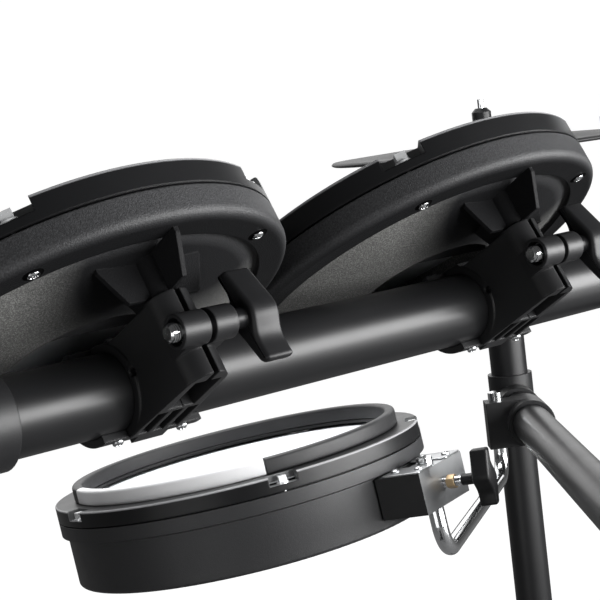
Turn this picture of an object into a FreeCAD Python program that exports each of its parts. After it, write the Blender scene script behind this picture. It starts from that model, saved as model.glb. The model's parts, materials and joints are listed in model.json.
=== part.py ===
import FreeCAD, Part
import math
import os
import Sketcher
from FreeCAD import Placement, Rotation, Vector

DOC = FreeCAD.newDocument("electronic_drum_kit")
SHEET = DOC.addObject("Spreadsheet::Sheet", "Sizes")

# Driving sizes in millimetres and degrees. X runs along the front tube, Y towards the player, Z up.
DRIVING = (
    ("tube_dia", 38.1), ("tube_wall", 2.0), ("front_height", 760), ("side_height", 553),
    ("front_post_x", 262), ("rear_post_x", 711), ("rear_post_y", 540), ("rear_post_rise", 107),
    ("crash_post_top", 850), ("tube_fit", 0.1), ("joint_wall", 4), ("joint_length", 64),
    ("joint_reach", 46), ("tube_setback", 4), ("dome_depth", 8), ("foot_dia", 58), ("foot_height", 42),
    ("foot_floor", 8),
    ("collar_wall", 5), ("collar_grip", 34), ("collar_lid", 14),
    ("pad_dia", 236), ("hoop_height", 14.4), ("seam_gap", 1.2), ("seam_depth", 3), ("hoop_lip", 14.5),
    ("hoop_land", 10), ("head_level", 9), ("head_skin", 0.8), ("head_ring", 5), ("head_clear", 0.5),
    ("edge_width", 2.9), ("edge_inset", 14.3), ("ring_depth", 10.5), ("side_depth", 16.2),
    ("side_round", 5.5), ("band_inset", 17), ("step_height", 2.7), ("step_width", 2),
    ("bowl_depth", 24.5), ("bowl_wall", 3), ("bowl_round", 210), ("hole_dia", 86),
    ("notch_width", 24), ("notch_floor", 6.4), ("notch_inset", 11.5), ("bolt_inset", 5.4),
    ("bolt_dia", 5), ("bolt_depth", 11.5), ("bolt_flange_dia", 10), ("bolt_flange", 1.4),
    ("bolt_head", 6.2), ("bolt_head_height", 5.2), ("bolt_count", 5),
    ("screw_inset", 10.5), ("screw_recess_dia", 8.4), ("screw_recess", 3.5), ("screw_dia", 6),
    ("screw_height", 3.2), ("bridge_width", 24), ("bridge_thick", 3), ("bridge_level", -7),
    ("cone_foot_dia", 34), ("cone_tip_dia", 20),
    ("mount_height", 56.8), ("mount_reach", 81.4), ("post_front", 49.6), ("post_dia", 12),
    ("post_top", 19.5), ("post_foot", 5.7), ("mount_dia", 15), ("mount_bottom", 35.9),
    ("fin_bottom", 36.5),
    ("fin_top", 16), ("fin_root", 29), ("fin_tip", 20), ("fin_thick", 2.6),
    ("clamp_width", 28), ("clamp_wall", 4), ("clamp_bottom", 24), ("web_top", 18.6), ("cap_width", 56),
    ("web_shoulder", 8.4), ("socket_dia", 22), ("socket_top", 19.4), ("socket_floor", 7.8),
    ("socket_fit", 0.08),
    ("boss_front", 66), ("boss_level", -3.6), ("boss_dia", 16), ("boss_left", 16), ("boss_right", 14),
    ("ear_width", 22), ("ear_height", 14), ("slit_width", 3), ("slit_end", 26), ("pocket_width", 15),
    ("pocket_front", 52.6), ("pocket_back", 26.4), ("pocket_depth", 12), ("cell_width", 6),
    ("cell_pitch", 8.6),
    ("cell_front", 23.8), ("cell_back", 2.5), ("cell_depth", 8), ("cell_step", 14.5),
    ("cell_shallow", 2.6), ("key_front", 22.4), ("key_level", -1),
    ("key_dia", 4), ("key_depth", 4), ("lug_width", 18), ("lug_depth", 8), ("lug_end", 23.6),
    ("stud_dia", 8), ("stud_fit", 0.08), ("nut_recess_dia", 12.6), ("nut_recess", 7),
    ("shank_dia", 9.5), ("shank_end", 22), ("shank_gap", 0.4), ("wing_width", 16), ("wing_reach", 24),
    ("wing_waist", 9.5), ("wing_round", 1.6),
    ("pad_tilt", 30), ("tom_left_x", -139.4), ("tom_right_x", 100.6), ("floor_tom_along", 300),
    ("floor_tom_tilt", 14),
    ("snare_dia", 330), ("snare_depth", 58), ("snare_wall", 3), ("snare_x", 322), ("snare_y", 519),
    ("snare_rise", 14.8), ("snare_heading", -72), ("snare_shank", 43), ("snare_tilt", 7.1), ("snare_roll", 2.6),
    ("snare_turn", 10.3), ("rim_width", 9), ("rim_height", 13.5), ("rim_seat", 27.5),
    ("seat_thick", 2.6),
    ("bracket_width", 80), ("bracket_reach", 39), ("bracket_height", 35), ("bracket_plate", 3),
    ("bracket_drop", 14.2), ("arm_dia", 14), ("arm_fit", 0.08), ("arm_rise", 32), ("arm_bend", 24),
    ("arm_clear", 5),
    ("snare_grip_along", 600), ("grip_width", 44),
    ("cymbal_dia", 304), ("hat_dia", 320), ("cymbal_hole", 12), ("bell_height", 20), ("bell_dia", 32),
    ("bell_foot_dia", 68), ("bow_height", 9.5), ("cymbal_edge", 1.5), ("cymbal_skin", 5),
    ("rod_dia", 16), ("rod_fit", 0.08), ("rod_depth", 60), ("tip_dia", 7), ("tip_length", 46),
    ("ball_dia", 19), ("ball_fit", 0.03), ("skirt_gap", 0.7), ("skirt_wall", 4), ("skirt_foot", 1),
    ("pin_dia", 4), ("pin_fit", 0.05), ("pin_length", 27), ("crash_rise", 150), ("ride_rise", 230),
    ("boom_out", 92),
    ("boom_up", 74), ("boom_bend", 30), ("cymbal_lean", 12), ("hat_height", 822), ("nut_dia", 20),
    ("nut_height", 16), ("nut_gap", 5.5),
    ("kick_x", -40), ("kick_y", 20), ("kick_base_width", 320), ("kick_base_depth", 210),
    ("kick_base_thick", 6), ("kick_leg_dia", 25), ("kick_leg_x", 128), ("kick_leg_height", 300),
    ("kick_shell_dia", 236), ("kick_shell_depth", 46), ("kick_level", 235), ("kick_pad_dia", 208),
    ("kick_pad_thick", 12), ("pedal_gap", 64), ("pedal_width", 86), ("pedal_length", 250),
    ("pedal_post", 14), ("axle_level", 150), ("axle_dia", 10), ("axle_fit", 0.08), ("board_thick", 8),
    ("board_slope", 20), ("heel_level", 22), ("heel_pin_dia", 8), ("beater_rod_dia", 7),
    ("beater_length", 122), ("beater_back", 42), ("beater_dia", 42), ("beater_depth", 44),
)


class Size:
    """A value in millimetres or degrees, with the text that ties it to the sheet."""

    def __init__(self, value, text):
        self.value = float(value)
        self.text = text

    def joined(self, other, sign, value):
        return Size(value, "(%s %s %s)" % (self.text, sign, other.text))

    def __add__(self, other):
        other = as_size(other)
        return self.joined(other, "+", self.value + other.value)

    def __radd__(self, other):
        return as_size(other) + self

    def __sub__(self, other):
        other = as_size(other)
        return self.joined(other, "-", self.value - other.value)

    def __rsub__(self, other):
        return as_size(other) - self

    def __mul__(self, other):
        other = as_size(other)
        return self.joined(other, "*", self.value * other.value)

    def __rmul__(self, other):
        return self * other

    def __truediv__(self, other):
        other = as_size(other)
        return self.joined(other, "/", self.value / other.value)

    def __neg__(self):
        return Size(-self.value, "(0 - %s)" % self.text)


def as_size(number):
    return number if isinstance(number, Size) else Size(number, repr(float(number)))


def fill_sheet():
    """Writes each driving size in a cell with its name as alias and gives the sizes back by name."""
    for row, (name, value) in enumerate(DRIVING, start=1):
        SHEET.set("A%d" % row, name.replace("_", " "))
        SHEET.set("B%d" % row, str(value))
        SHEET.setAlias("B%d" % row, name)
    DOC.recompute()
    return {name: Size(SHEET.get(name), "Sizes." + name) for name, _ in DRIVING}


D = fill_sheet()
TUBE_R = D["tube_dia"] / 2
BORE_R = TUBE_R + D["tube_fit"]
REAR_TOP = D["side_height"] + D["rear_post_rise"]
SUBPARTS = []


def bind(item, **sizes):
    for name, size in sizes.items():
        size = as_size(size)
        setattr(item, name, size.value)
        item.setExpression(name, size.text)
    return item


def at(x=0, y=0, z=0, rotation=None):
    spot = Vector(*[as_size(v).value for v in (x, y, z)])
    return Placement(spot, rotation or Rotation())


ALONG_X = Rotation(Vector(0, 1, 0), 90)
ALONG_Y = Rotation(Vector(1, 0, 0), -90)


def turn_z(angle):
    return Rotation(Vector(0, 0, 1), angle)


def cylinder(name, radius, height, placement=None):
    item = bind(DOC.addObject("Part::Cylinder", name), Radius=radius, Height=height)
    item.Placement = placement or Placement()
    return item


def rod_x(name, radius, start, end, y=0, z=0):
    """Cylinder along X from start to end."""
    return cylinder(name, radius, as_size(end) - start, at(start, y, z, ALONG_X))


def box(name, x, y, z, placement=None):
    """Box between two limits on each axis."""
    item = DOC.addObject("Part::Box", name)
    bind(item, Length=as_size(x[1]) - x[0], Width=as_size(y[1]) - y[0], Height=as_size(z[1]) - z[0])
    item.Placement = (placement or Placement()) * at(x[0], y[0], z[0])
    return item


def fused(name, items):
    item = DOC.addObject("Part::MultiFuse", name)
    item.Shapes = items
    item.Refine = True
    return item


def cut(name, base, tools):
    item = DOC.addObject("Part::Cut", name)
    item.Base = base
    item.Tool = tools[0] if len(tools) == 1 else fused(name + "_tools", tools)
    return item


def grouped(name, items):
    item = DOC.addObject("Part::Compound", name)
    item.Links = items
    return item


def arc_middle(start, end, radius):
    """Point half way along the arc from start to end; a positive radius bulges to the right of travel."""
    chord = end - start
    half = chord.Length / 2
    rise = abs(radius) - math.sqrt(max(radius * radius - half * half, 0))
    side = Vector(chord.y, -chord.x, 0).normalize()
    return start + chord * 0.5 + side * math.copysign(rise, radius)


def outline(body, role, corners, name):
    """Closed sketch through corners (u, v) or (u, v, radius of the arc to the next corner).

    Every corner is held by its two distances from the sketch origin, and every arc by its radius.
    """
    sketch = body.newObject("Sketcher::SketchObject", name)
    plane = [item for item in body.Origin.OriginFeatures if item.Role == role][0]
    sketch.AttachmentSupport = [(plane, "")]
    sketch.MapMode = "FlatFace"
    spots = [Vector(as_size(c[0]).value, as_size(c[1]).value, 0) for c in corners]
    ends = []
    for index, corner in enumerate(corners):
        start, end = spots[index], spots[(index + 1) % len(spots)]
        if len(corner) == 2:
            sketch.addGeometry(Part.LineSegment(start, end), False)
            ends.append((1, 2))
            continue
        middle = arc_middle(start, end, as_size(corner[2]).value)
        forward = (middle - start).cross(end - middle).z > 0
        first, last = (start, end) if forward else (end, start)
        sketch.addGeometry(Part.Arc(first, middle, last), False)
        ends.append((1, 2) if forward else (2, 1))
    for index in range(len(corners)):
        following = (index + 1) % len(corners)
        sketch.addConstraint(
            Sketcher.Constraint("Coincident", index, ends[index][1], following, ends[following][0]))
    for index, corner in enumerate(corners):
        for kind, axis, value in (("DistanceX", -2, corner[0]), ("DistanceY", -1, corner[1])):
            value = as_size(value)
            if value.text == "0.0":
                sketch.addConstraint(Sketcher.Constraint("PointOnObject", index, ends[index][0], axis))
                continue
            held = sketch.addConstraint(
                Sketcher.Constraint(kind, -1, 1, index, ends[index][0], value.value))
            sketch.setExpression("Constraints[%d]" % held, value.text)
        if len(corner) == 3:
            radius = as_size(corner[2])
            held = sketch.addConstraint(Sketcher.Constraint("Radius", index, abs(radius.value)))
            sketch.setExpression("Constraints[%d]" % held, "abs(%s)" % radius.text)
    return sketch


def turned(name, corners):
    """Body of revolution about Z from corners (radius, height)."""
    body = DOC.addObject("PartDesign::Body", name)
    sketch = outline(body, "XZ_Plane", corners, name + "_profile")
    feature = body.newObject("PartDesign::Revolution", name + "_turn")
    feature.Profile = sketch
    feature.ReferenceAxis = (sketch, ["V_Axis"])
    feature.Angle = 360
    DOC.recompute()
    return body


def prism(name, role, corners, length):
    """Body padded to both sides of an origin plane from corners on that plane."""
    body = DOC.addObject("PartDesign::Body", name)
    sketch = outline(body, role, corners, name + "_profile")
    feature = body.newObject("PartDesign::Pad", name + "_pad")
    feature.Profile = sketch
    feature.Midplane = True
    bind(feature, Length=length)
    DOC.recompute()
    return body


def rounded(body, radius, chosen):
    """Fillet on the edges of the body's last feature that chosen picks."""
    last = body.Tip
    names = ["Edge%d" % number for number, edge in enumerate(last.Shape.Edges, start=1) if chosen(edge)]
    feature = body.newObject("PartDesign::Fillet", body.Name + "_round")
    feature.Base = (last, names)
    bind(feature, Radius=radius)
    DOC.recompute()
    return body


def circle_at(radius, height):
    """Picks the round edges with this radius at this height."""
    radius, height = as_size(radius).value, as_size(height).value

    def chosen(edge):
        level = edge.BoundBox
        return (isinstance(edge.Curve, Part.Circle) and abs(edge.Curve.Radius - radius) < 1e-4
                and abs(level.ZMin - height) < 1e-4 and abs(level.ZMax - height) < 1e-4)

    return chosen


def subpart(item, label, placement=None):
    item.Label = label
    if placement:
        item.Placement = placement
    SUBPARTS.append(item)
    return item


def tube(name, length, placement):
    """Rack tube with its wall, along Z from its lower end."""
    outer = cylinder(name + "_outer", TUBE_R, length)
    inner = cylinder(name + "_inner", TUBE_R - D["tube_wall"], length)
    item = cut(name, outer, [inner])
    return subpart(item, name, placement)


def side_frame(side):
    """Front post, direction to the rear post and distance between them, for side -1 or 1."""
    front = Vector(side * D["front_post_x"].value, 0, 0)
    rear = Vector(side * D["rear_post_x"].value, D["rear_post_y"].value, 0)
    run = rear - front
    return front, Vector(run).normalize(), run.Length


def along_tube(direction):
    return Rotation(Vector(0, 0, 1), direction)


def rack_tubes():
    back = TUBE_R + D["tube_setback"]
    reach = D["front_post_x"] - back
    tube("front_tube", reach * 2, at(-reach, 0, D["front_height"], ALONG_X))
    for side, name in ((-1, "side_tube_left"), (1, "side_tube_right")):
        front, direction, run = side_frame(side)
        start = front + direction * back.value + Vector(0, 0, D["side_height"].value)
        tube(name, as_size(run) - back * 2, Placement(start, along_tube(direction)))
    left_top = D["front_height"] + D["dome_depth"]
    for name, x, y, top in (
            ("front_post_left", -D["front_post_x"], 0, left_top),
            ("front_post_right", D["front_post_x"], 0, D["crash_post_top"]),
            ("rear_post_left", -D["rear_post_x"], D["rear_post_y"], REAR_TOP),
            ("rear_post_right", D["rear_post_x"], D["rear_post_y"], REAR_TOP)):
        tube(name, top - D["foot_floor"], at(x, y, D["foot_floor"]))


def tee(name, direction, placement, above):
    """Moulded joint: a sleeve round the post, up to a height above the tube's axis, and one round the tube.

    Without a height above the axis the sleeve ends in a dome that closes over the post.
    """
    wall_r = BORE_R + D["joint_wall"]
    half = D["joint_length"] / 2
    reach = D["joint_reach"]
    turn = along_tube(direction)
    pieces = [cylinder(name + "_sleeve", wall_r, half + above, at(0, 0, -half)),
              cylinder(name + "_branch", wall_r, reach, Placement(Vector(), turn))]
    depth = half + above + 2
    if above.value == 0:
        pieces.append(bind(DOC.addObject("Part::Sphere", name + "_dome"), Radius=wall_r))
        depth = half + D["dome_depth"] + 1
    post_bore = cylinder(name + "_post_bore", BORE_R, depth, at(0, 0, -half - 1))
    tube_bore = cylinder(name + "_tube_bore", BORE_R, reach, Placement(direction * TUBE_R.value, turn))
    item = cut(name, fused(name + "_body", pieces), [post_bore, tube_bore])
    item.Placement = placement
    return item


def rack_joints():
    half = D["joint_length"] / 2
    items = []
    for side, name, above in ((-1, "left", as_size(0)), (1, "right", half)):
        inward = Vector(-side, 0, 0)
        items.append(tee("front_joint_" + name, inward,
                         at(side * D["front_post_x"], 0, D["front_height"]), above))
        front, direction, run = side_frame(side)
        level = Vector(0, 0, D["side_height"].value)
        items.append(tee("side_joint_" + name, direction, Placement(front + level, Rotation()), half))
        items.append(tee("rear_joint_" + name, direction * -1,
                         Placement(front + direction * run + level, Rotation()), half))
    subpart(grouped("tee_joints", items), "tee_joints")


def rubber_feet():
    outer = D["foot_dia"] / 2
    items = []
    for name, x, y in (("a", -D["front_post_x"], 0), ("b", D["front_post_x"], 0),
                       ("c", -D["rear_post_x"], D["rear_post_y"]), ("d", D["rear_post_x"], D["rear_post_y"])):
        foot = turned("foot_" + name, [(0, 0), (outer, 0), (outer - 4, D["foot_height"]),
                                       (BORE_R, D["foot_height"]), (BORE_R, D["foot_floor"]),
                                       (0, D["foot_floor"])])
        foot.Placement = at(x, y, 0)
        items.append(foot)
    subpart(grouped("rubber_feet", items), "rubber_feet")


def post_collar(name, x, y, top):
    """Cap over a post's upper end that guides the rod of a cymbal arm."""
    outer = BORE_R + D["collar_wall"]
    hole = D["rod_dia"] / 2 + D["rod_fit"]
    collar = turned(name, [(BORE_R, -D["collar_grip"]), (outer, -D["collar_grip"]), (outer, 4),
                           (hole + 6, D["collar_lid"]), (hole, D["collar_lid"]), (hole, 0), (BORE_R, 0)])
    collar.Placement = at(x, y, top)
    return collar


def snare_grip():
    """Clamp on the right side tube with an upright bore for the snare's arm."""
    half = D["grip_width"] / 2
    outer = BORE_R + D["joint_wall"]
    drop = outer + D["arm_dia"] / 2 + 1
    front, direction, _ = side_frame(1)
    spot = front + direction * D["snare_grip_along"].value + Vector(0, 0, D["side_height"].value)
    sleeve = rod_x("grip_sleeve", outer, -half, half)
    block = box("grip_block", (-half / 2, half / 2), (0, drop + 11), (-outer, outer))
    tube_bore = rod_x("grip_tube_bore", BORE_R, -half - 1, half + 1)
    arm_bore = cylinder("grip_arm_bore", D["arm_dia"] / 2 + D["arm_fit"], outer * 2 + 2,
                        at(0, drop, -outer - 1))
    item = cut("snare_grip", fused("grip_body", [sleeve, block]), [tube_bore, arm_bore])
    heading = math.degrees(math.atan2(direction.y, direction.x))
    item.Placement = Placement(spot, turn_z(heading))
    return item, item.Placement.multVec(Vector(0, drop.value, 0))


def arm_collars():
    grip, arm_spot = snare_grip()
    items = [
        post_collar("collar_crash", D["front_post_x"], 0, D["crash_post_top"]),
        post_collar("collar_ride", -D["rear_post_x"], D["rear_post_y"], REAR_TOP),
        post_collar("collar_hat", D["rear_post_x"], D["rear_post_y"], REAR_TOP), grip]
    subpart(grouped("arm_collars", items), "arm_collars")
    return arm_spot


def bolt_angles():
    """Tension bolts stand evenly round a pad, with the mounting post half way between two."""
    count = int(D["bolt_count"].value)
    return [-90 + 360 / count * (number + 0.5) for number in range(count)]


def ring_spot(radius, angle, z):
    radius = as_size(radius).value
    spot = Vector(radius * math.cos(math.radians(angle)), radius * math.sin(math.radians(angle)),
                  as_size(z).value)
    return Placement(spot, turn_z(angle))


def pad_hoop(prefix, outer, seat=None):
    """Hoop ring with a cut-out for every tension bolt, and a thin seat for a raised rim where it has one."""
    top, level = D["hoop_height"], D["head_level"]
    land = outer - D["hoop_land"]
    lip = outer - D["hoop_lip"]
    inside = [(lip, top)]
    if seat is not None:
        inside = [(seat, top), (seat, top - D["seat_thick"]), (lip, top - D["seat_thick"])]
    ring = turned(prefix + "_hoop_ring", [
        (land, 0), (outer - D["seam_depth"], 0), (outer - D["seam_depth"], D["seam_gap"]),
        (outer, D["seam_gap"]), (outer, top)] + inside + [(lip, level), (land, level)])
    rounded(ring, 1.4, circle_at(outer, top))
    half = D["notch_width"] / 2
    tools = []
    for number, angle in enumerate(bolt_angles()):
        tools.append(box("%s_notch_%d" % (prefix, number), (-D["notch_inset"], 6), (-half, half),
                         (0, top), ring_spot(outer, angle, D["notch_floor"])))
        tools.append(cylinder("%s_hoop_hole_%d" % (prefix, number), D["bolt_dia"] / 2 + 0.05, top,
                              ring_spot(outer - D["bolt_inset"], angle, -1)))
    return cut(prefix + "_hoop", ring, tools)


def pad_head(prefix, outer):
    """Mesh skin with the ring that the hoop pulls down."""
    ring = outer - D["hoop_land"] - D["head_clear"]
    inner = outer - D["edge_inset"] + D["head_clear"]
    level = D["head_level"]
    return turned(prefix + "_head", [(0, level - D["head_skin"]), (inner, level - D["head_skin"]),
                                     (inner, level - D["head_ring"]), (ring, level - D["head_ring"]),
                                     (ring, level), (0, level)])


def edge_corners(outer):
    """Upper inside of a shell: the ring under the hoop and the edge that carries the head."""
    inset = outer - D["edge_inset"]
    inner = inset - D["edge_width"]
    level = D["head_level"] - D["head_skin"]
    return inner, [(inner, -D["ring_depth"]), (inner, level), (inset, level), (inset, 0), (outer, 0)]


def bolt_tools(prefix, outer):
    return [cylinder("%s_bolt_hole_%d" % (prefix, number), D["bolt_dia"] / 2 + 0.05, D["bolt_depth"] + 2,
                     ring_spot(outer - D["bolt_inset"], angle, -D["bolt_depth"]))
            for number, angle in enumerate(bolt_angles())]


def tom_shell(prefix, outer):
    """Shell with the bolt band, the shallow bowl, the round hole and the finned mount for the post."""
    inner, edge = edge_corners(outer)
    band = outer - D["band_inset"]
    hole = D["hole_dia"] / 2
    side, bowl, wall = D["side_depth"], D["bowl_depth"], D["bowl_wall"]
    floor = side - D["step_height"]
    body = turned(prefix + "_shell_body", [
        (outer, -side), (band, -side), (band, -floor), (band - D["step_width"], -floor, -D["bowl_round"]),
        (hole, -bowl), (hole, wall - bowl, D["bowl_round"]), (inner - D["step_width"], wall - floor),
        (inner, wall - floor)] + edge[1:])
    rounded(body, D["side_round"], circle_at(outer, -side))
    reach = -D["mount_reach"]
    mount_r = D["mount_dia"] / 2
    pieces = [body, cylinder(prefix + "_mount", mount_r, D["mount_bottom"] - D["fin_top"],
                             at(0, reach, -D["mount_bottom"]))]
    for number in range(4):
        start = D["post_dia"] / 2 + 0.05
        fin = prism("%s_fin_%d" % (prefix, number), "XZ_Plane", [
            (start, -D["fin_bottom"]), (D["fin_tip"], -D["fin_bottom"]), (D["fin_root"], -D["fin_top"] - 3),
            (D["fin_root"], -D["fin_top"]), (start, -D["fin_top"])], D["fin_thick"])
        fin.Placement = at(0, reach, 0, turn_z(90 * number))
        pieces.append(fin)
    tools = bolt_tools(prefix, outer)
    tools.append(cylinder(prefix + "_post_bore", D["post_dia"] / 2, D["fin_bottom"] - D["post_top"] + 1,
                          at(0, reach, -D["fin_bottom"] - 1)))
    for number, angle in enumerate(bolt_angles()):
        tools.append(cylinder("%s_screw_recess_%d" % (prefix, number), D["screw_recess_dia"] / 2,
                              D["screw_recess"] + 1, ring_spot(outer - D["screw_inset"], angle, -side - 1)))
    return cut(prefix + "_shell", fused(prefix + "_shell_solid", pieces), tools)


def pad_bolts(prefix, outer, screws):
    """Tension bolts in the cut-outs and, where asked, the screws that close the shell from below."""
    floor = D["notch_floor"]
    items = []
    for number, angle in enumerate(bolt_angles()):
        spot = outer - D["bolt_inset"]
        name = "%s_bolt_%d" % (prefix, number)
        half = D["bolt_head"] / 2
        shaft = cylinder(name + "_shaft", D["bolt_dia"] / 2, D["bolt_depth"] + floor,
                         ring_spot(spot, angle, -D["bolt_depth"]))
        flange = cylinder(name + "_flange", D["bolt_flange_dia"] / 2, D["bolt_flange"],
                          ring_spot(spot, angle, floor))
        head = box(name + "_head", (-half, half), (-half, half), (0, D["bolt_head_height"]),
                   ring_spot(spot, angle, floor + D["bolt_flange"]))
        items.append(fused(name, [shaft, flange, head]))
        if screws:
            items.append(cylinder("%s_screw_%d" % (prefix, number), D["screw_dia"] / 2, D["screw_height"],
                                  ring_spot(outer - D["screw_inset"], angle,
                                            D["screw_recess"] - D["side_depth"] - D["screw_height"])))
    return grouped(prefix + "_bolts", items)


def pad_sensor(prefix, outer):
    """Bridge across the shell with the foam cone that touches the head from below."""
    inner = edge_corners(outer)[0]
    level = D["bridge_level"]
    half, wide = inner - 0.6, D["bridge_width"] / 2
    bridge = box(prefix + "_bridge", (-half, half), (-wide, wide), (level, level + D["bridge_thick"]))
    foot = level + D["bridge_thick"]
    cone = turned(prefix + "_cone", [(0, foot), (D["cone_foot_dia"] / 2, foot),
                                     (D["cone_tip_dia"] / 2, D["head_level"] - D["head_skin"]),
                                     (0, D["head_level"] - D["head_skin"])])
    return fused(prefix + "_sensor", [bridge, cone])


def clamp_plan():
    """Outline of the clamp seen along the post: as wide as the tube half, narrowing to the socket."""
    half, side = D["clamp_width"] / 2, D["socket_dia"] / 2
    shoulder, front = -D["web_shoulder"], -D["post_front"]
    return [(-half, 2), (-half, shoulder), (-side, front), (side, front), (half, shoulder), (half, 2)]


def clamp_lugs(name, near, far):
    """Lugs above and below the tube, where the screws of the two clamp halves sit."""
    half, end = D["lug_width"] / 2, D["lug_end"]
    return [box(name + "_lower_lug", (-half, half), (near, far), (-end, -TUBE_R)),
            box(name + "_upper_lug", (-half, half), (near, far), (TUBE_R, end))]


def clamp_body(prefix):
    """Split clamp: tube half, upright socket, two bosses for the wing screw and a cored underside."""
    name = prefix + "_clamp"
    half = D["clamp_width"] / 2
    bottom, front = -D["clamp_bottom"], -D["post_front"]
    wall = BORE_R + D["clamp_wall"]
    boss_y, boss_z = -D["boss_front"], D["boss_level"]
    web = prism(name + "_web", "XY_Plane", clamp_plan(), D["web_top"] - bottom)
    web.Placement = at(0, 0, (D["web_top"] + bottom) / 2)
    ring = rod_x(name + "_ring", wall, -half, half)
    socket = cylinder(name + "_socket", D["socket_dia"] / 2, D["socket_top"] - bottom, at(0, front, bottom))
    boss = rod_x(name + "_boss", D["boss_dia"] / 2, -D["boss_left"], D["boss_right"], boss_y, boss_z)
    ear = box(name + "_ear", (-D["ear_width"] / 2, D["ear_width"] / 2), (boss_y, front),
              (boss_z - D["ear_height"] / 2, boss_z + D["ear_height"] / 2))
    solid = fused(name + "_solid", [web, ring, socket, boss, ear] + clamp_lugs(name, -D["lug_depth"], 0))
    slit = D["slit_width"] / 2
    pocket = D["pocket_width"] / 2
    key = D["key_depth"] - half
    tools = [
        box(name + "_rear", (-half - 1, half + 1), (0, wall + 2), (-wall - 20, wall + 20)),
        rod_x(name + "_tube_bore", BORE_R, -half - 1, half + 1),
        cylinder(name + "_socket_bore", D["post_dia"] / 2 + D["socket_fit"],
                 D["socket_top"] + D["socket_floor"] + 1, at(0, front, -D["socket_floor"])),
        box(name + "_slit", (-slit, slit), (boss_y - 20, -D["slit_end"]), (bottom - 1, D["socket_top"] + 1)),
        box(name + "_pocket", (-pocket, pocket), (-D["pocket_front"], -D["pocket_back"]),
            (bottom - 1, bottom + D["pocket_depth"])),
        rod_x(name + "_stud_bore", D["stud_dia"] / 2 + D["stud_fit"], -40, 40, boss_y, boss_z),
        rod_x(name + "_nut_recess", D["nut_recess_dia"] / 2, -D["boss_left"] - 1,
              D["nut_recess"] - D["boss_left"], boss_y, boss_z),
        rod_x(name + "_key_hole", D["key_dia"] / 2, -half - 1, key, -D["key_front"], D["key_level"])]
    for place in (-1, 0, 1):
        middle = D["cell_pitch"] * place
        across = (middle - D["cell_width"] / 2, middle + D["cell_width"] / 2)
        tools.append(box("%s_cell_%d" % (name, place + 1), across, (-D["cell_front"], -D["cell_step"]),
                         (bottom - 1, bottom + D["cell_depth"])))
        tools.append(box("%s_groove_%d" % (name, place + 1), across, (-D["cell_front"], -D["cell_back"]),
                         (bottom - 1, bottom + D["cell_shallow"])))
    return cut(name, solid, tools)


def clamp_cap(prefix):
    """Rear half of the clamp, a wide band screwed to the front half above and below the tube."""
    name = prefix + "_cap"
    half = D["cap_width"] / 2
    wall = BORE_R + D["clamp_wall"]
    ring = rod_x(name + "_ring", wall, -half, half)
    front = box(name + "_front", (-half - 1, half + 1), (-wall - 2, 0), (-wall - 20, wall + 20))
    bore = rod_x(name + "_bore", BORE_R, -half - 1, half + 1)
    return cut(name, fused(name + "_solid", [ring] + clamp_lugs(name, 0, D["lug_depth"])), [front, bore])


def wing_screw(name, stud_start, shank_start, shank_end):
    """Steel stud and shank along X with a moulded handle of two offset wings."""
    reach, waist = D["wing_reach"], D["wing_waist"]
    handle = prism(name + "_wings", "YZ_Plane", [
        (waist * -0.2, reach * 0.97), (-waist, reach * -0.02), (waist * -0.3, reach * -0.5),
        (waist * -0.44, -reach), (waist * 0.2, reach * -0.97), (waist, reach * 0.02),
        (waist * 0.3, reach * 0.5), (waist * 0.44, reach)], D["wing_width"])
    across = D["wing_width"].value

    def lengthwise(edge):
        return edge.BoundBox.XLength > across - 1e-3

    rounded(handle, D["wing_round"], lengthwise)
    handle.Placement = at(shank_end + D["wing_width"] / 2, 0, 0)
    stud = rod_x(name + "_stud", D["stud_dia"] / 2, stud_start, shank_end)
    shank = rod_x(name + "_shank", D["shank_dia"] / 2, shank_start, shank_end + 1)
    return fused(name, [handle, stud, shank])


def tom(prefix, clamp_frame):
    """A pad with its post, its clamp and the wing screw, from the clamp's place on a tube."""
    outer = D["pad_dia"] / 2
    pad_frame = clamp_frame * at(0, D["mount_reach"] - D["post_front"], D["mount_height"])
    for item, label in ((tom_shell(prefix, outer), "shell"), (pad_hoop(prefix, outer), "hoop"),
                        (pad_head(prefix, outer), "head"), (pad_sensor(prefix, outer), "sensor"),
                        (pad_bolts(prefix, outer, True), "bolts")):
        subpart(item, "%s_%s" % (prefix, label), pad_frame)
    foot = -D["post_foot"]
    post = cylinder(prefix + "_post", D["post_dia"] / 2, D["mount_height"] - D["post_top"] - foot,
                    clamp_frame * at(0, -D["post_front"], foot))
    subpart(post, prefix + "_post")
    subpart(clamp_body(prefix), prefix + "_clamp", clamp_frame)
    subpart(clamp_cap(prefix), prefix + "_clamp_cap", clamp_frame)
    screw = wing_screw(prefix + "_screw", 0.6 - D["boss_left"], D["boss_right"] + D["shank_gap"],
                       D["shank_end"])
    subpart(screw, prefix + "_wing_screw", clamp_frame * at(0, -D["boss_front"], D["boss_level"]))
    report_frame(prefix, clamp_frame)


def report_frame(name, frame):
    """Prints where a moving group stands, for the joints of the record."""
    spot = frame.Base
    ahead = frame.Rotation.multVec(Vector(1, 0, 0))
    up = frame.Rotation.multVec(Vector(0, 0, 1))
    FRAMES.append((name, spot, ahead, up))


FRAMES = []


def toms():
    for prefix, x in (("tom_left", D["tom_left_x"]), ("tom_right", D["tom_right_x"])):
        tom(prefix, at(x, 0, D["front_height"], Rotation(Vector(1, 0, 0), -D["pad_tilt"].value)))
    front, direction, _ = side_frame(-1)
    spot = front + direction * D["floor_tom_along"].value + Vector(0, 0, D["side_height"].value)
    heading = math.degrees(math.atan2(-direction.y, -direction.x))
    tilt = Rotation(Vector(1, 0, 0), -D["floor_tom_tilt"].value)
    tom("tom_floor", Placement(spot, turn_z(heading) * tilt))


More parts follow.
